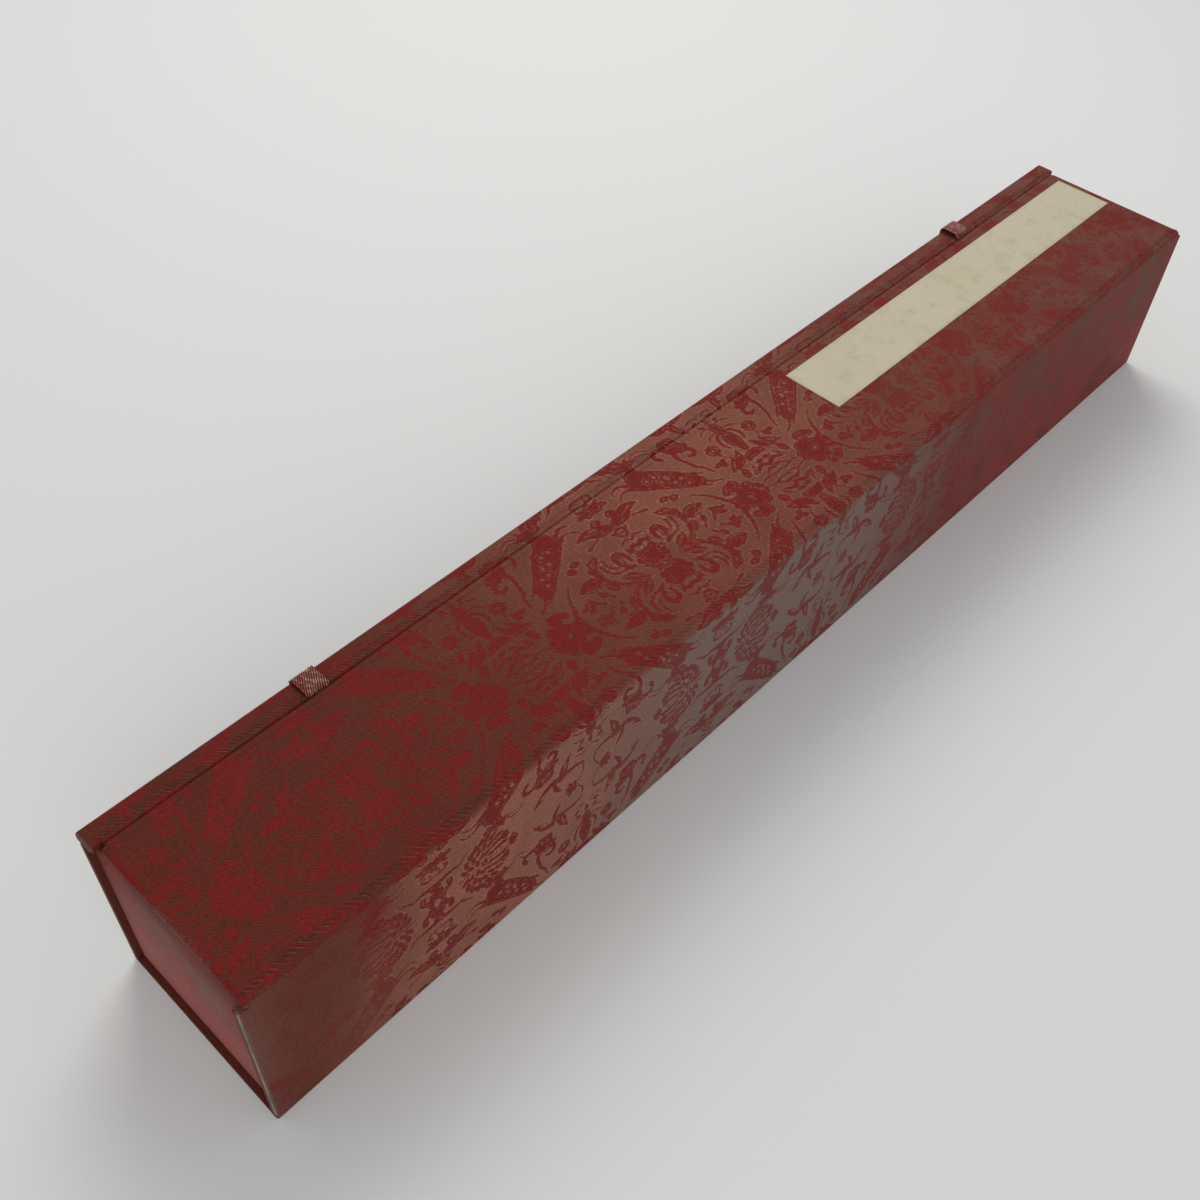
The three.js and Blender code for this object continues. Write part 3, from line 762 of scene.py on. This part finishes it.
half_length, half_width = CASE_LENGTH / 2, CASE_WIDTH / 2
covered(
    "base", "case", (half_width, -half_length, 0.0), -X, Y, (CASE_WIDTH, CASE_LENGTH),
    radii=(1.0, 1.0, 1.0, 1.0), cell=2.2, turn_in=8.0,
    pattern=(CASE_WIDTH + CASE_HEIGHT, 1, -half_length, 1), rub=(0.5, 0.5, 1.1, 0.6), swell=0.0,
)
END_SQUARE = 2.6
wall_y = half_length - END_SQUARE
room_half, room_end = half_width - PANEL, wall_y - PANEL
lined("base", "case", (-room_half, -room_end, PANEL), X, Y, (2 * room_half, 2 * room_end))

# The back: a tall panel on the base's edge; the damask runs on over its top to the lid as the hinge.
# Its near edge is rubbed to the pale core of the cloth.
BACK_TOP, LINING_SHORT = 84.2, 3.0
CLOTH_CELL = 0.76
covered(
    "back", "case", (half_width, -half_length, BACK_TOP), -Z, Y, (BACK_TOP - PANEL, CASE_LENGTH),
    radii=(0.3, SHARP, 1.0, 1.0), cell=CLOTH_CELL, turn_in=7.0,
    pattern=(CASE_WIDTH + CASE_HEIGHT - BACK_TOP, 1, -half_length, 1), rub=(0.0, 0.0, 1.13, 0.7),
)
lining_size = (BACK_TOP - LINING_SHORT - PANEL, 2 * room_end)
lined("back", "case", (room_half, -room_end, PANEL), Z, Y, lining_size)

# The front: a fixed panel on the base's other edge, of pasteboard under damask like the back.
# Its top edge is rounded by the cloth and lies just under the lid's lip.
FRONT_TOP = 83.3
covered(
    "front", "case", (-half_width, -half_length, PANEL), Z, Y, (FRONT_TOP - PANEL, CASE_LENGTH),
    radii=(SHARP, 1.2, 1.0, 1.0), cell=1.0, turn_in=7.0,
    pattern=(2 * CASE_WIDTH + CASE_HEIGHT + PANEL, 1, -half_length, 1), rub=(0.0, 0.4, 1.1, 0.6),
)
lining_top = FRONT_TOP - LINING_SHORT
lined("front", "case", (-room_half, -room_end, lining_top), -Z, Y, (lining_top - PANEL, 2 * room_end))

# The two end walls: panels set in between front and back, a little inside the ends of the outer boards.
# The lid's figure runs on down their faces.
WALL_TOP = 84.5
for side, part in ((-1, "near_end"), (1, "far_end")):
    covered(
        part, "case", (side * room_half, side * wall_y, PANEL), -side * X, Z,
        (2 * room_half, WALL_TOP - PANEL), radii=(SHARP, SHARP, SHARP, 0.6), cell=0.8, turn_in=4.0,
        pattern=(side * room_half + half_width, -side, side * (wall_y + CASE_HEIGHT - PANEL), -side),
        rub=(0.0, 0.0, 0.0, 0.4), swell=0.08,
    )
    lining_size = (2 * room_half, WALL_TOP - LINING_SHORT - PANEL)
    lined(part, "case", (-side * room_half, side * room_end, PANEL), side * X, Z, lining_size)

# The lid: a panel hung on the back by its cloth, rounded over the ridge and over both ends.
# The lining inside leaves a margin of turned-in damask.
LID_FRONT, RIDGE_RADIUS, LID_END_RADIUS, LINING_MARGIN = -33.2, 2.0, 2.0, 4.0
covered(
    "lid", "lid", (LID_FRONT, -wall_y, CASE_HEIGHT), X, Y, (half_width - LID_FRONT, 2 * wall_y),
    radii=(1.0, RIDGE_RADIUS, LID_END_RADIUS, LID_END_RADIUS), cell=CLOTH_CELL, turn_in=6.0,
    pattern=(LID_FRONT + half_width, 1, -wall_y, 1), rub=(0.0, 0.0, 0.3, 0.6),
)
lining_corner = (half_width - LINING_MARGIN, -wall_y + LINING_MARGIN, CASE_HEIGHT - PANEL)
lining_size = (half_width - LID_FRONT - 2 * LINING_MARGIN, 2 * (wall_y - LINING_MARGIN))
lined("lid", "lid", lining_corner, -X, Y, lining_size)

# The lip: a narrow pasteboard panel under damask along the lid's free edge, hung on the crease.
# It runs as long as the base, a little past the lid at both ends.
LIP_FRONT, LIP_BACK, LIP_MARGIN, LIP_END_MARGIN = -44.3, -35.2, 1.8, 2.5
covered(
    "lip", "lip", (LIP_FRONT, -half_length, CASE_HEIGHT), X, Y, (LIP_BACK - LIP_FRONT, CASE_LENGTH),
    radii=(1.0, 1.0, 1.1, 1.1), cell=CLOTH_CELL, turn_in=2.6,
    pattern=(LIP_FRONT + half_width, 1, -half_length, 1), rub=(0.6, 0.0, 0.8, 0.8), swell=0.08,
)
lining_corner = (LIP_BACK - LIP_MARGIN, -half_length + LIP_END_MARGIN, CASE_HEIGHT - PANEL)
lining_size = (LIP_BACK - LIP_FRONT - 2 * LIP_MARGIN, CASE_LENGTH - 2 * LIP_END_MARGIN)
lined("lip", "lip", lining_corner, -X, Y, lining_size)

# The ridge cloth: the same damask where it bends from the back over the ridge to the lid.
# It lies close on both panels. On the case it is the hinge that the lid swings on; here it is one fixed
# piece.
CLOTH_THICK, STRIP_PROUD = 0.4, 0.03
strip_half = wall_y - LID_END_RADIUS


def cloth_strip(name, line, across, cell):
    """A closed strip of damask along the case, from its outer profile in x and z."""
    way = np.gradient(line, axis=0)
    way /= np.linalg.norm(way, axis=1)[:, None]
    inside = line + CLOTH_THICK * np.stack([way[:, 1], -way[:, 0]], -1)
    rim = np.vstack([line, inside[::-1]])
    measure = np.concatenate([across, across[::-1]])
    ys = np.linspace(-strip_half, strip_half, round(2 * strip_half / cell) + 1)
    rim_x, rim_z, cloth_across = (np.repeat(value, len(ys)) for value in (*rim.T, measure))
    place = np.stack([rim_x, np.tile(ys, len(rim)), rim_z], -1)
    number = np.arange(len(place)).reshape(len(rim), len(ys))
    faces = quads(number, np.roll(number, -1, axis=0))
    last = len(rim) - 1
    for k in range(len(line) - 1):
        faces.append([number[j, 0] for j in (k, last - k, last - 1 - k, k + 1)])
        faces.append([number[j, -1] for j in (k, k + 1, last - 1 - k, last - k)])
    strip = cloth_piece(name, place, faces, cloth_across, place[:, 1], np.zeros(len(place)))
    strip.data.materials.append(damask.material)
    return strip


RIDGE_START, RIDGE_END, RIDGE_CELL, RIDGE_STEPS, RIDGE_GAP = 38.9, 80.4, 0.75, 9, 0.6
ridge_turn = np.linspace(0, math.pi / 2, RIDGE_STEPS)
ridge_reach = RIDGE_RADIUS + STRIP_PROUD
on_lid = np.arange(RIDGE_START, half_width - RIDGE_RADIUS, RIDGE_CELL)
on_back = np.arange(CASE_HEIGHT - RIDGE_RADIUS - RIDGE_GAP, RIDGE_END, -RIDGE_CELL)
ridge_x = [on_lid, half_width - RIDGE_RADIUS + ridge_reach * np.sin(ridge_turn)]
ridge_x += [np.full(len(on_back), half_width + STRIP_PROUD)]
ridge_z = [np.full(len(on_lid), CASE_HEIGHT + STRIP_PROUD)]
ridge_z += [CASE_HEIGHT - RIDGE_RADIUS + ridge_reach * np.cos(ridge_turn), on_back]
ridge_line = np.stack([np.concatenate(ridge_x), np.concatenate(ridge_z)], -1)
over_ridge = np.linspace(CASE_WIDTH - RIDGE_RADIUS, CASE_WIDTH + RIDGE_RADIUS, RIDGE_STEPS)
ridge_across = np.concatenate([on_lid + half_width, over_ridge, CASE_WIDTH + CASE_HEIGHT - on_back])
ridge_cloth = cloth_strip("ridge_cloth", ridge_line, ridge_across, CLOTH_CELL)
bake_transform(ridge_cloth)

# The groove cloth: the damask pressed down between lid and lip, the crease that the lip folds on; here one
# fixed piece.
# It lies close on both, and is drawn deeper beside the two tapes that come up through it.
GROOVE_MIDDLE, GROOVE_DEPTH, GROOVE_CELL, CREASE_HALF = -34.2, 0.85, 1.2, 1.1
DRAWN_DEEP, DRAWN_REACH, TAPE_FROM_END = 0.55, 16.0, 93.0
tape_y = half_length - TAPE_FROM_END


def mirrored(half, middle):
    """A line that is the same both ways, from half of it as (out, height) and the height in its middle."""
    return [(-out, height) for out, height in half] + [(0, middle)] + list(half)[::-1]


groove_half = ((3.4, 0.0), (2.0, 0.0), (1.0, -0.02), (0.5, -0.22), (0.15, -0.65))
groove_line = smooth_line(mirrored(groove_half, -GROOVE_DEPTH), 3)
groove_line += (GROOVE_MIDDLE, CASE_HEIGHT + STRIP_PROUD)
groove_cloth = cloth_strip("groove_damask", groove_line, groove_line[:, 0] + half_width, GROOVE_CELL)
for point in groove_cloth.data.vertices:
    from_tape = abs(abs(point.co.y / MM) - tape_y)
    from_crease = abs(point.co.x / MM - GROOVE_MIDDLE)
    drawn = math.exp(-((from_tape / DRAWN_REACH) ** 2)) * max(0.0, 1 - from_crease / CREASE_HALF)
    point.co.z -= DRAWN_DEEP * drawn * MM
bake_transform(groove_cloth)
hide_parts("groove_cloth")

# The title slip: one strip of aged paper, mottled and flecked with fibres, its edges darkened by handling.
# It is pasted flat on the lid near its far end.
SLIP_FRONT, SLIP_NEAR, SLIP_WIDTH, SLIP_LENGTH, SLIP_PROUD = -27.5, 53.2, 30.3, 242.4, 0.2
slip_paper = Finish("slip_paper", Roughness=0.8)
slip_place = slip_paper.object_place()
slip_fibre = slip_place.stretched((2200, 500, 1), 0.4).noise(1.0, 4.0, 0.65)
slip_mottle = slip_place.noise(130.0, 5.0, 0.6)
slip_stain = slip_place.noise(22.0, 4.0, 0.6)
slip_tone = slip_stain.mix((0.46, 0.42, 0.285, 1), (0.545, 0.49, 0.365, 1))
for slip_share, slip_mark in (
    (slip_mottle.step(0.48, 0.72, 0.0, 0.55), (0.37, 0.325, 0.22, 1)),
    (slip_fibre.step(0.55, 0.35, 0.0, 0.28), (0.42, 0.38, 0.27, 1)),
    (slip_place.noise(420.0, 2.0).step(0.68, 0.76, 0.0, 0.5), (0.27, 0.22, 0.13, 1)),
    (slip_paper.attribute("rubbed") * slip_mottle, (0.36, 0.31, 0.21, 1)),
):
    slip_tone = slip_share.mix(slip_tone, slip_mark)
slip_paper.finish(Base_Color=slip_tone, Normal=slip_fibre.relief(0.00003))
title_slip = covered_panel(
    "title_paper", (SLIP_FRONT, SLIP_NEAR, CASE_HEIGHT + SLIP_PROUD), X, Y, (SLIP_WIDTH, SLIP_LENGTH),
    radii=(0.08,) * 4, cell=1.5, turn_in=1.0, pattern=(0, 1, 0, 1), rub=(0.7, 0.7, 0.9, 0.9),
    swell=0.05, thick=0.25,
)
title_slip.data.materials.append(slip_paper.material)
attached(title_slip, "lid", "slip_paper", "title_slip")

# The two tapes: strips of ribbed cloth that come up out of slits in the groove and cross the lip.
# The near one lies flat with slanting ribs, the far one stands up in an open arch; both turn down in front.


class Growth(Nodes):
    """A Geometry Nodes tree with named inputs that grows a piece on a drawn path."""

    family = "GeometryNode"

    def __init__(self, name, **inputs):
        self.tree = bpy.data.node_groups.new(name, "GeometryNodeTree")
        sockets = self.tree.interface
        sockets.new_socket("Geometry", in_out="OUTPUT", socket_type="NodeSocketGeometry")
        for key, kind in dict(Path="Geometry", **inputs, Material="Material").items():
            sockets.new_socket(key.replace("_", " "), in_out="INPUT", socket_type="NodeSocket" + kind)
        given = self.tree.nodes.new("NodeGroupInput").outputs
        self.given = {socket.name: Value(self, socket) for socket in given}

    def vector(self, **parts):
        return self.node("ShaderNodeCombineXYZ", **parts)

    def stored(self, geometry, name, value, domain="POINT"):
        settings = {"data_type": "FLOAT", "domain": domain}
        return self.node("StoreNamedAttribute", 0, settings, Geometry=geometry, Name=name, Value=value)

    def end(self, geometry):
        whole = self.node("RealizeInstances", Geometry=geometry)
        smooth = self.node("SetShadeSmooth", Geometry=whole)
        coloured = self.node("SetMaterial", Geometry=smooth, Material=self.given["Material"])
        self.plug(self.tree.nodes.new("NodeGroupOutput"), {"Geometry": coloured})

    def grow(self, name, points, values, **inputs):
        """Draws the path, sets the inputs and turns the result into a plain mesh piece."""
        path = bpy.data.meshes.new(name + "_path")
        path.from_pydata((np.array(points) * MM).tolist(), [(k, k + 1) for k in range(len(points) - 1)], [])
        for key, value in values.items():
            put(path, key, np.ones(len(points)) * value)
        drawn = into_scene(name + "_path", path)
        grower = drawn.modifiers.new("grow", "NODES")
        grower.node_group = self.tree
        for item in self.tree.interface.items_tree:
            if item.in_out == "INPUT" and item.name.replace(" ", "_") in inputs:
                grower[item.identifier] = inputs[item.name.replace(" ", "_")]
        grown = drawn.evaluated_get(bpy.context.evaluated_depsgraph_get())
        mesh = bpy.data.meshes.new_from_object(grown)
        bpy.data.objects.remove(drawn)
        mesh.name = name
        return into_scene(name, mesh)


# Ribs side by side along a path: each is a fine tube, shifted sideways by "lean" and drawn in by "share".
ribbed = Growth("ribbed_band", Rib_Count="Int", Pitch="Float", Rib_Radius="Float", Half_Width="Float")
rib_path, rib_count, rib_pitch, rib_radius, rib_limit = list(ribbed.given.values())[:5]
rib_round = ribbed.node("CurvePrimitiveCircle", Resolution=6, Radius=rib_radius)
rib_curve = ribbed.node("MeshToCurve", Mesh=rib_path)
one_rib = ribbed.node("CurveToMesh", Curve=rib_curve, Profile_Curve=rib_round, Fill_Caps=True)
rib_place = ribbed.node("InputPosition")
rib_x, rib_y, rib_z = (ribbed.node("ShaderNodeSeparateXYZ", k, Vector=rib_place) for k in range(3))
one_rib = one_rib.stored("rib_side", abs(rib_y) / rib_radius)
row_start = ribbed.vector(Y=(rib_count - 1.0) * -0.5 * rib_pitch)
row_step = ribbed.vector(Y=rib_pitch)
rib_row = ribbed.node("MeshLine", Count=rib_count, Start_Location=row_start, Offset=row_step)
ribs = ribbed.node("InstanceOnPoints", Points=rib_row, Instance=one_rib)
ribs = ribbed.node("RealizeInstances", Geometry=ribs)
ribs = ribs.stored("rib_row", rib_y / rib_limit)
as_number = {"data_type": "FLOAT"}
share, lean = (ribbed.node("InputNamedAttribute", 0, as_number, Name=key) for key in ("share", "lean"))
drawn_in = (rib_y + lean) * share
kept_in = ribbed.node("ShaderNodeClamp", Value=drawn_in, Min=-rib_limit, Max=rib_limit)
rib_set = ribbed.vector(X=rib_x, Y=kept_in, Z=rib_z)
ribbed.node("SetPosition", Geometry=ribs, Position=rib_set).end()

tape_cloth = Finish("tape_cloth", Roughness=0.5, Specular_IOR_Level=0.3)
tape_place = tape_cloth.object_place()
tape_twist = tape_place.stretched((420, 1500, 420), 0.56).noise(1.0, 2.0, 0.5)
tape_patch = tape_place.noise(220.0, 2.0, 0.5)
red_rows = (tape_patch * 0.9 + tape_cloth.attribute("rib_row")).step(0.0, 0.35)
tape_tone = red_rows.mix((0.235, 0.024, 0.021, 1), (0.250, 0.070, 0.048, 1))
tape_tone = tape_twist.step(0.50, 0.64, 0.0, 0.80).mix(tape_tone, (0.62, 0.33, 0.24, 1))
# Painted shade: each rib darkens towards its sides, for the shade in the gaps between the ribs.
rib_gap_shade = tape_cloth.attribute("rib_side").step(0.30, 0.90, 0.0, 0.88)
tape_tone = rib_gap_shade.mix(tape_tone, (0.050, 0.008, 0.007, 1))
tape_cloth.finish(
    Base_Color=tape_tone, Normal=tape_twist.relief(0.00010), Sheen_Weight=0.04, Sheen_Roughness=0.4,
)


def band(name, line, middle, count, pitch, radius, width, share=1.0, lean=0.0):
    """A ribbed band along a line in x and z, set at its place along the case."""
    piece = ribbed.grow(
        name,
        np.insert(line, 1, 0.0, axis=1),
        {"share": share, "lean": lean},
        Rib_Count=count,
        Pitch=pitch * MM,
        Rib_Radius=radius * MM,
        Half_Width=width / 2 * MM,
        Material=tape_cloth.material,
    )
    piece.data.transform(Matrix.Translation((0, middle * MM, 0)))
    return piece


TAPE_WIDTH, TAPE_MIDDLE, TAPE_STAND, TAPE_ROOT, TAPE_END = 10.0, -39.8, 0.45, 84.8, 86.0
tape_front, tape_back = LIP_FRONT - TAPE_STAND, LIP_BACK + TAPE_STAND
tape_middles = {"near": -tape_y, "far": tape_y}
tape_tops = {
    "near": [(-34.9, 88.3), (-35.8, 88.84), (TAPE_MIDDLE, 89.1), (-43.7, 88.84), (-44.6, 88.2)],
    "far": [(-34.9, 89.8), (-35.7, 90.58), (-39.0, 90.68), (-42.6, 90.6), (-44.2, 89.9)],
}
tape_turns = {"near": (87.4, 87.4), "far": (88.4, 88.6)}
tape_ribs = {
    "near": {"count": 17, "pitch": 1.0, "radius": 0.49},
    "far": {"count": 21, "pitch": 0.48, "radius": 0.27},
}
tape_leans = {"near": -0.62, "far": -0.05}
for end, middle in tape_middles.items():
    turn_back, turn_front = tape_turns[end]
    tape_line = [(tape_back, TAPE_ROOT), (tape_back, turn_back), *tape_tops[end]]
    tape_line += [(tape_front, turn_front), (tape_front, TAPE_END)]
    tape_line = smooth_line(tape_line, 5)
    slant = tape_leans[end] * (tape_line[:, 0] - TAPE_MIDDLE) * MM
    tape = band(end + "_tape_cloth", tape_line, middle, width=TAPE_WIDTH, lean=slant, **tape_ribs[end])
    attached(tape, "lip", "tape", end + "_tape")

# The two straps: each tape runs on down the front from the lip's edge as the same ribbed cloth, each strap
# one fixed piece.
# It is sewn narrow and goes round the bar of its pin.
STRAP_WIDE, STRAP_NARROW, EYE_WIDTH = 79.7, 64.9, 4.2
BAR_X, BAR_Z, EYE_RADIUS, EYE_START, EYE_STEPS = -46.04, 62.7, 1.99, 0.35, 11
strap_line = [(tape_front, z) for z in (86.6, 84.0, STRAP_WIDE, 75.0, 72.7)] + [(-45.4, 68.6), (-46.0, 65.4)]
for turn in np.linspace(EYE_START, 2 * math.pi, EYE_STEPS):
    strap_line.append((BAR_X - EYE_RADIUS * math.sin(turn), BAR_Z + EYE_RADIUS * math.cos(turn)))
strap_line = smooth_line(strap_line, 4)
fall = np.clip((STRAP_WIDE - strap_line[:, 1]) / (STRAP_WIDE - STRAP_NARROW), 0, 1)
strap_share = 1 - fall * (1 - EYE_WIDTH / TAPE_WIDTH)
for end, middle in tape_middles.items():
    strap_ribs = {"count": 16, "pitch": 0.63, "radius": 0.27, "width": TAPE_WIDTH, "share": strap_share}
    strap = band(end + "_strap_cloth", strap_line, middle, **strap_ribs)
    end + "_strap"
    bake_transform(strap)
    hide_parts(end + "_strap")

# The two pins: flat pegs cut from bone, pointed, with a slot under the bar for the strap.
# All their edges are rubbed round.
bone = Finish("bone", Roughness=0.38, Specular_IOR_Level=0.5)
bone_place = bone.object_place()
bone_grain = bone_place.stretched((900, 900, 60)).noise(1.0, 4.0, 0.6)
bone_stain = bone_place.noise(90.0, 3.0)
bone_tone = bone_stain.mix((0.60, 0.52, 0.36, 1), (0.72, 0.66, 0.50, 1))
bone_tone = bone_grain.step(0.36, 0.60).mix((0.46, 0.37, 0.23, 1), bone_tone)
bone.finish(Base_Color=bone_tone, Normal=bone_grain.relief(0.00008))


def carved(name, loops, levels):
    """A flat piece from outlines in y and z (holes turn the other way), through levels of (inset, x)."""
    form = bmesh.new()
    for loop in loops:
        loop = np.array(loop)
        way = np.roll(loop, -1, 0) - np.roll(loop, 1, 0)
        inward = np.stack([-way[:, 1], way[:, 0]], -1) / np.linalg.norm(way, axis=1)[:, None]
        rows = []
        for inset, x in levels:
            at = loop + inset * inward
            rows.append([form.verts.new((x * MM, y * MM, z * MM)) for y, z in at])
        for low, high in zip(rows[:-1], rows[1:]):
            for k in range(len(loop)):
                j = (k + 1) % len(loop)
                form.faces.new((low[k], low[j], high[j], high[k]))
    for x in (levels[0][1], levels[-1][1]):
        rim = [e for e in form.edges if e.is_boundary and all(abs(v.co.x - x * MM) < 1e-9 for v in e.verts)]
        bmesh.ops.triangle_fill(form, edges=rim, use_beauty=True)
    bmesh.ops.recalc_face_normals(form, faces=form.faces)
    mesh = bpy.data.meshes.new(name)
    form.to_mesh(mesh)
    form.free()
    mesh.shade_smooth()
    return into_scene(name, mesh)


def arc(middle, radius, start, end, steps):
    turns = np.radians(np.linspace(start, end, steps))
    return [(middle[0] + radius * math.cos(t), middle[1] + radius * math.sin(t)) for t in turns]


PIN_HALF, PIN_THICK, PIN_EDGE = 3.6, 2.4, 0.55
PIN_TIP, PIN_REACH = 1.3, 34.0
CORNER, CORNER_Z = 1.2, -0.4
SLOT_HALF, SLOT_RADIUS, SLOT_Z = 1.65, 0.75, -1.67
pin_side = [(PIN_HALF - 1.1, -16.0), (PIN_HALF - 0.3, -7.0), (PIN_HALF, -4.4)]
pin_line = arc((0, PIN_TIP - PIN_REACH), PIN_TIP, 182, 358, 13) + pin_side
pin_line += arc((PIN_HALF - CORNER, CORNER_Z), CORNER, 0, 90, 7)
pin_line += arc((CORNER - PIN_HALF, CORNER_Z), CORNER, 90, 180, 7)
pin_line += [(-y, z) for y, z in reversed(pin_side)]
pin_slot = arc((SLOT_HALF, SLOT_Z), SLOT_RADIUS, 90, -90, 9)
pin_slot += arc((-SLOT_HALF, SLOT_Z), SLOT_RADIUS, 270, 90, 9)
pin_front = [(PIN_EDGE - y, BAR_X - PIN_THICK / 2 + PIN_EDGE - x) for x, y in arc((0, 0), PIN_EDGE, 0, 90, 5)]
pin_behind = [(inset, 2 * BAR_X - x) for inset, x in reversed(pin_front)]
for end, middle in tape_middles.items():
    pin_loops = [np.array(loop) + (middle, BAR_Z) for loop in (pin_line, pin_slot)]
    pin = carved(end + "_bone_pin", pin_loops, pin_front + pin_behind)
    pin.data.materials.append(bone.material)
    attached(pin, end + "_pin", "bone", end + "_pin")

# The two keepers: short bands of the tapes' ribbed cloth, for the pins to be pushed behind.
# Each is pasted to the front board by its two ends and stands a little off it in the middle.
KEEPER_Z, KEEPER_WIDTH = 43.7, 9.0
KEEPER_STAND = 0.66
keeper_half = ((8.5, 0.22), (6.6, 0.24), (5.2, 0.42), (3.4, 0.62))
keeper_line = smooth_line(mirrored(keeper_half, KEEPER_STAND), 4)
for end, middle in tape_middles.items():
    keeper_ribs = {"count": 16, "pitch": 0.565, "radius": 0.24, "width": KEEPER_WIDTH}
    keeper = band(end + "_keeper_band", keeper_line, 0.0, **keeper_ribs)
    stand = Matrix(((0, 0, -1), (1, 0, 0), (0, -1, 0))).to_4x4()
    stand.translation = Vector((-half_width, middle, KEEPER_Z)) * MM
    keeper.data.transform(stand)
    attached(keeper, "case", "tape", end + "_keeper")

# The loose threads: where the damask is bent, its slanting weft threads have parted and stand a little proud.
# They run in a row along the lip's side of the groove and along the ridge, and fray out beside the near tape.
thread_inputs = ("Pitch", "Thread_Length", "Thread_Radius", "Slant", "Stray")
loose = Growth("loose_threads", **dict.fromkeys(thread_inputs, "Float"), Seed="Int")
path_in, pitch_in, length_in, radius_in, slant_in, stray_in, seed_in = list(loose.given.values())[:7]
thread_bow = loose.node(
    "CurveQuadraticBezier",
    Resolution=3,
    Start=loose.vector(X=length_in * -0.5),
    Middle=loose.vector(Z=radius_in * 1.6),
    End=loose.vector(X=length_in * 0.5),
)
thread_round = loose.node("CurvePrimitiveCircle", Resolution=4, Radius=radius_in)
one_thread = loose.node("CurveToMesh", Curve=thread_bow, Profile_Curve=thread_round, Fill_Caps=True)
thread_row = loose.node("MeshToCurve", Mesh=path_in)
thread_row = loose.node("ResampleCurve", 0, {"mode": "LENGTH"}, Curve=thread_row, Length=pitch_in)
turn_stray = loose.node("FunctionNodeRandomValue", 1, as_number, _2=-stray_in, _3=stray_in, Seed=seed_in)
long_share = loose.node("FunctionNodeRandomValue", 1, as_number, _2=0.6, _3=1.1, Seed=seed_in + 1.0)
laid_threads = loose.node(
    "InstanceOnPoints",
    Points=thread_row,
    Instance=one_thread,
    Rotation=loose.vector(Z=slant_in + turn_stray),
    Scale=loose.vector(X=long_share, Y=1.0, Z=1.0),
)
every_other = loose.node("InputIndex").math("MODULO", 2.0)
laid_threads.stored("pale", every_other, "INSTANCE").end()

loose_thread = Finish("loose_thread", Roughness=0.6, Specular_IOR_Level=0.2)
thread_fleck = loose_thread.object_place().noise(260.0, 3.0)
thread_faded_and_sheen = loose_thread.attribute("faded_and_sheen").step(0.0, 0.6)
thread_tone = thread_faded_and_sheen.mix((0.095, 0.024, 0.016, 1), (0.225, 0.082, 0.052, 1))
thread_figure = loose_thread.attribute("figure").step(0.4, -0.4, 0.0, 0.85)
thread_tone = thread_figure.mix(thread_tone, (0.155, 0.0165, 0.0150, 1))
# Painted shade: most threads are darkened halfway to black, as dark strokes for the shaded gaps between the
# parted threads; some of every other thread stay paler.
gap_shade_tone = loose_thread.mix(0.5, thread_tone, (0.030, 0.009, 0.007, 1))
pale_tone = loose_thread.mix(0.15, thread_tone, (0.50, 0.30, 0.22, 1))
pale_share = loose_thread.attribute("pale") * thread_fleck.step(0.30, 0.62)
loose_thread.finish(Base_Color=pale_share.mix(gap_shade_tone, pale_tone))

# Each row's place in x and z, its ends, then its pitch, length and radius, slant, stray and seed.
thread_rows = (
    ("groove_threads", "lip", (-36.6, 87.96), (-strip_half, strip_half), (0.95, 4.8, 0.13), 0.77, 0.14, 3),
    ("ridge_threads", "lid", (40.1, 87.97), (-strip_half, strip_half), (1.25, 4.8, 0.13), 0.77, 0.12, 5),
    ("tape_threads", "lip", (-35.3, 88.25), (-tape_y - 6.5, -tape_y - 3.5), (0.5, 3.2, 0.12), -0.4, 0.7, 7),
)
for name, body, (x, z), ends, (pitch, length, radius), slant, stray, seed in thread_rows:
    row = loose.grow(
        name,
        [(x, y, z) for y in ends],
        {},
        Pitch=pitch * MM,
        Thread_Length=length * MM,
        Thread_Radius=radius * MM,
        Slant=slant,
        Stray=stray,
        Seed=seed,
        Material=loose_thread.material,
    )
    corners = np.array([v.co for v in row.data.vertices]) / MM
    cloth_at = corners[:, 1], corners[:, 0] + half_width
    put(row.data, "faded_and_sheen", fading_and_painted_light(*cloth_at)[0])
    put(row.data, "figure", figure_at(*cloth_at))
    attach(row, body)
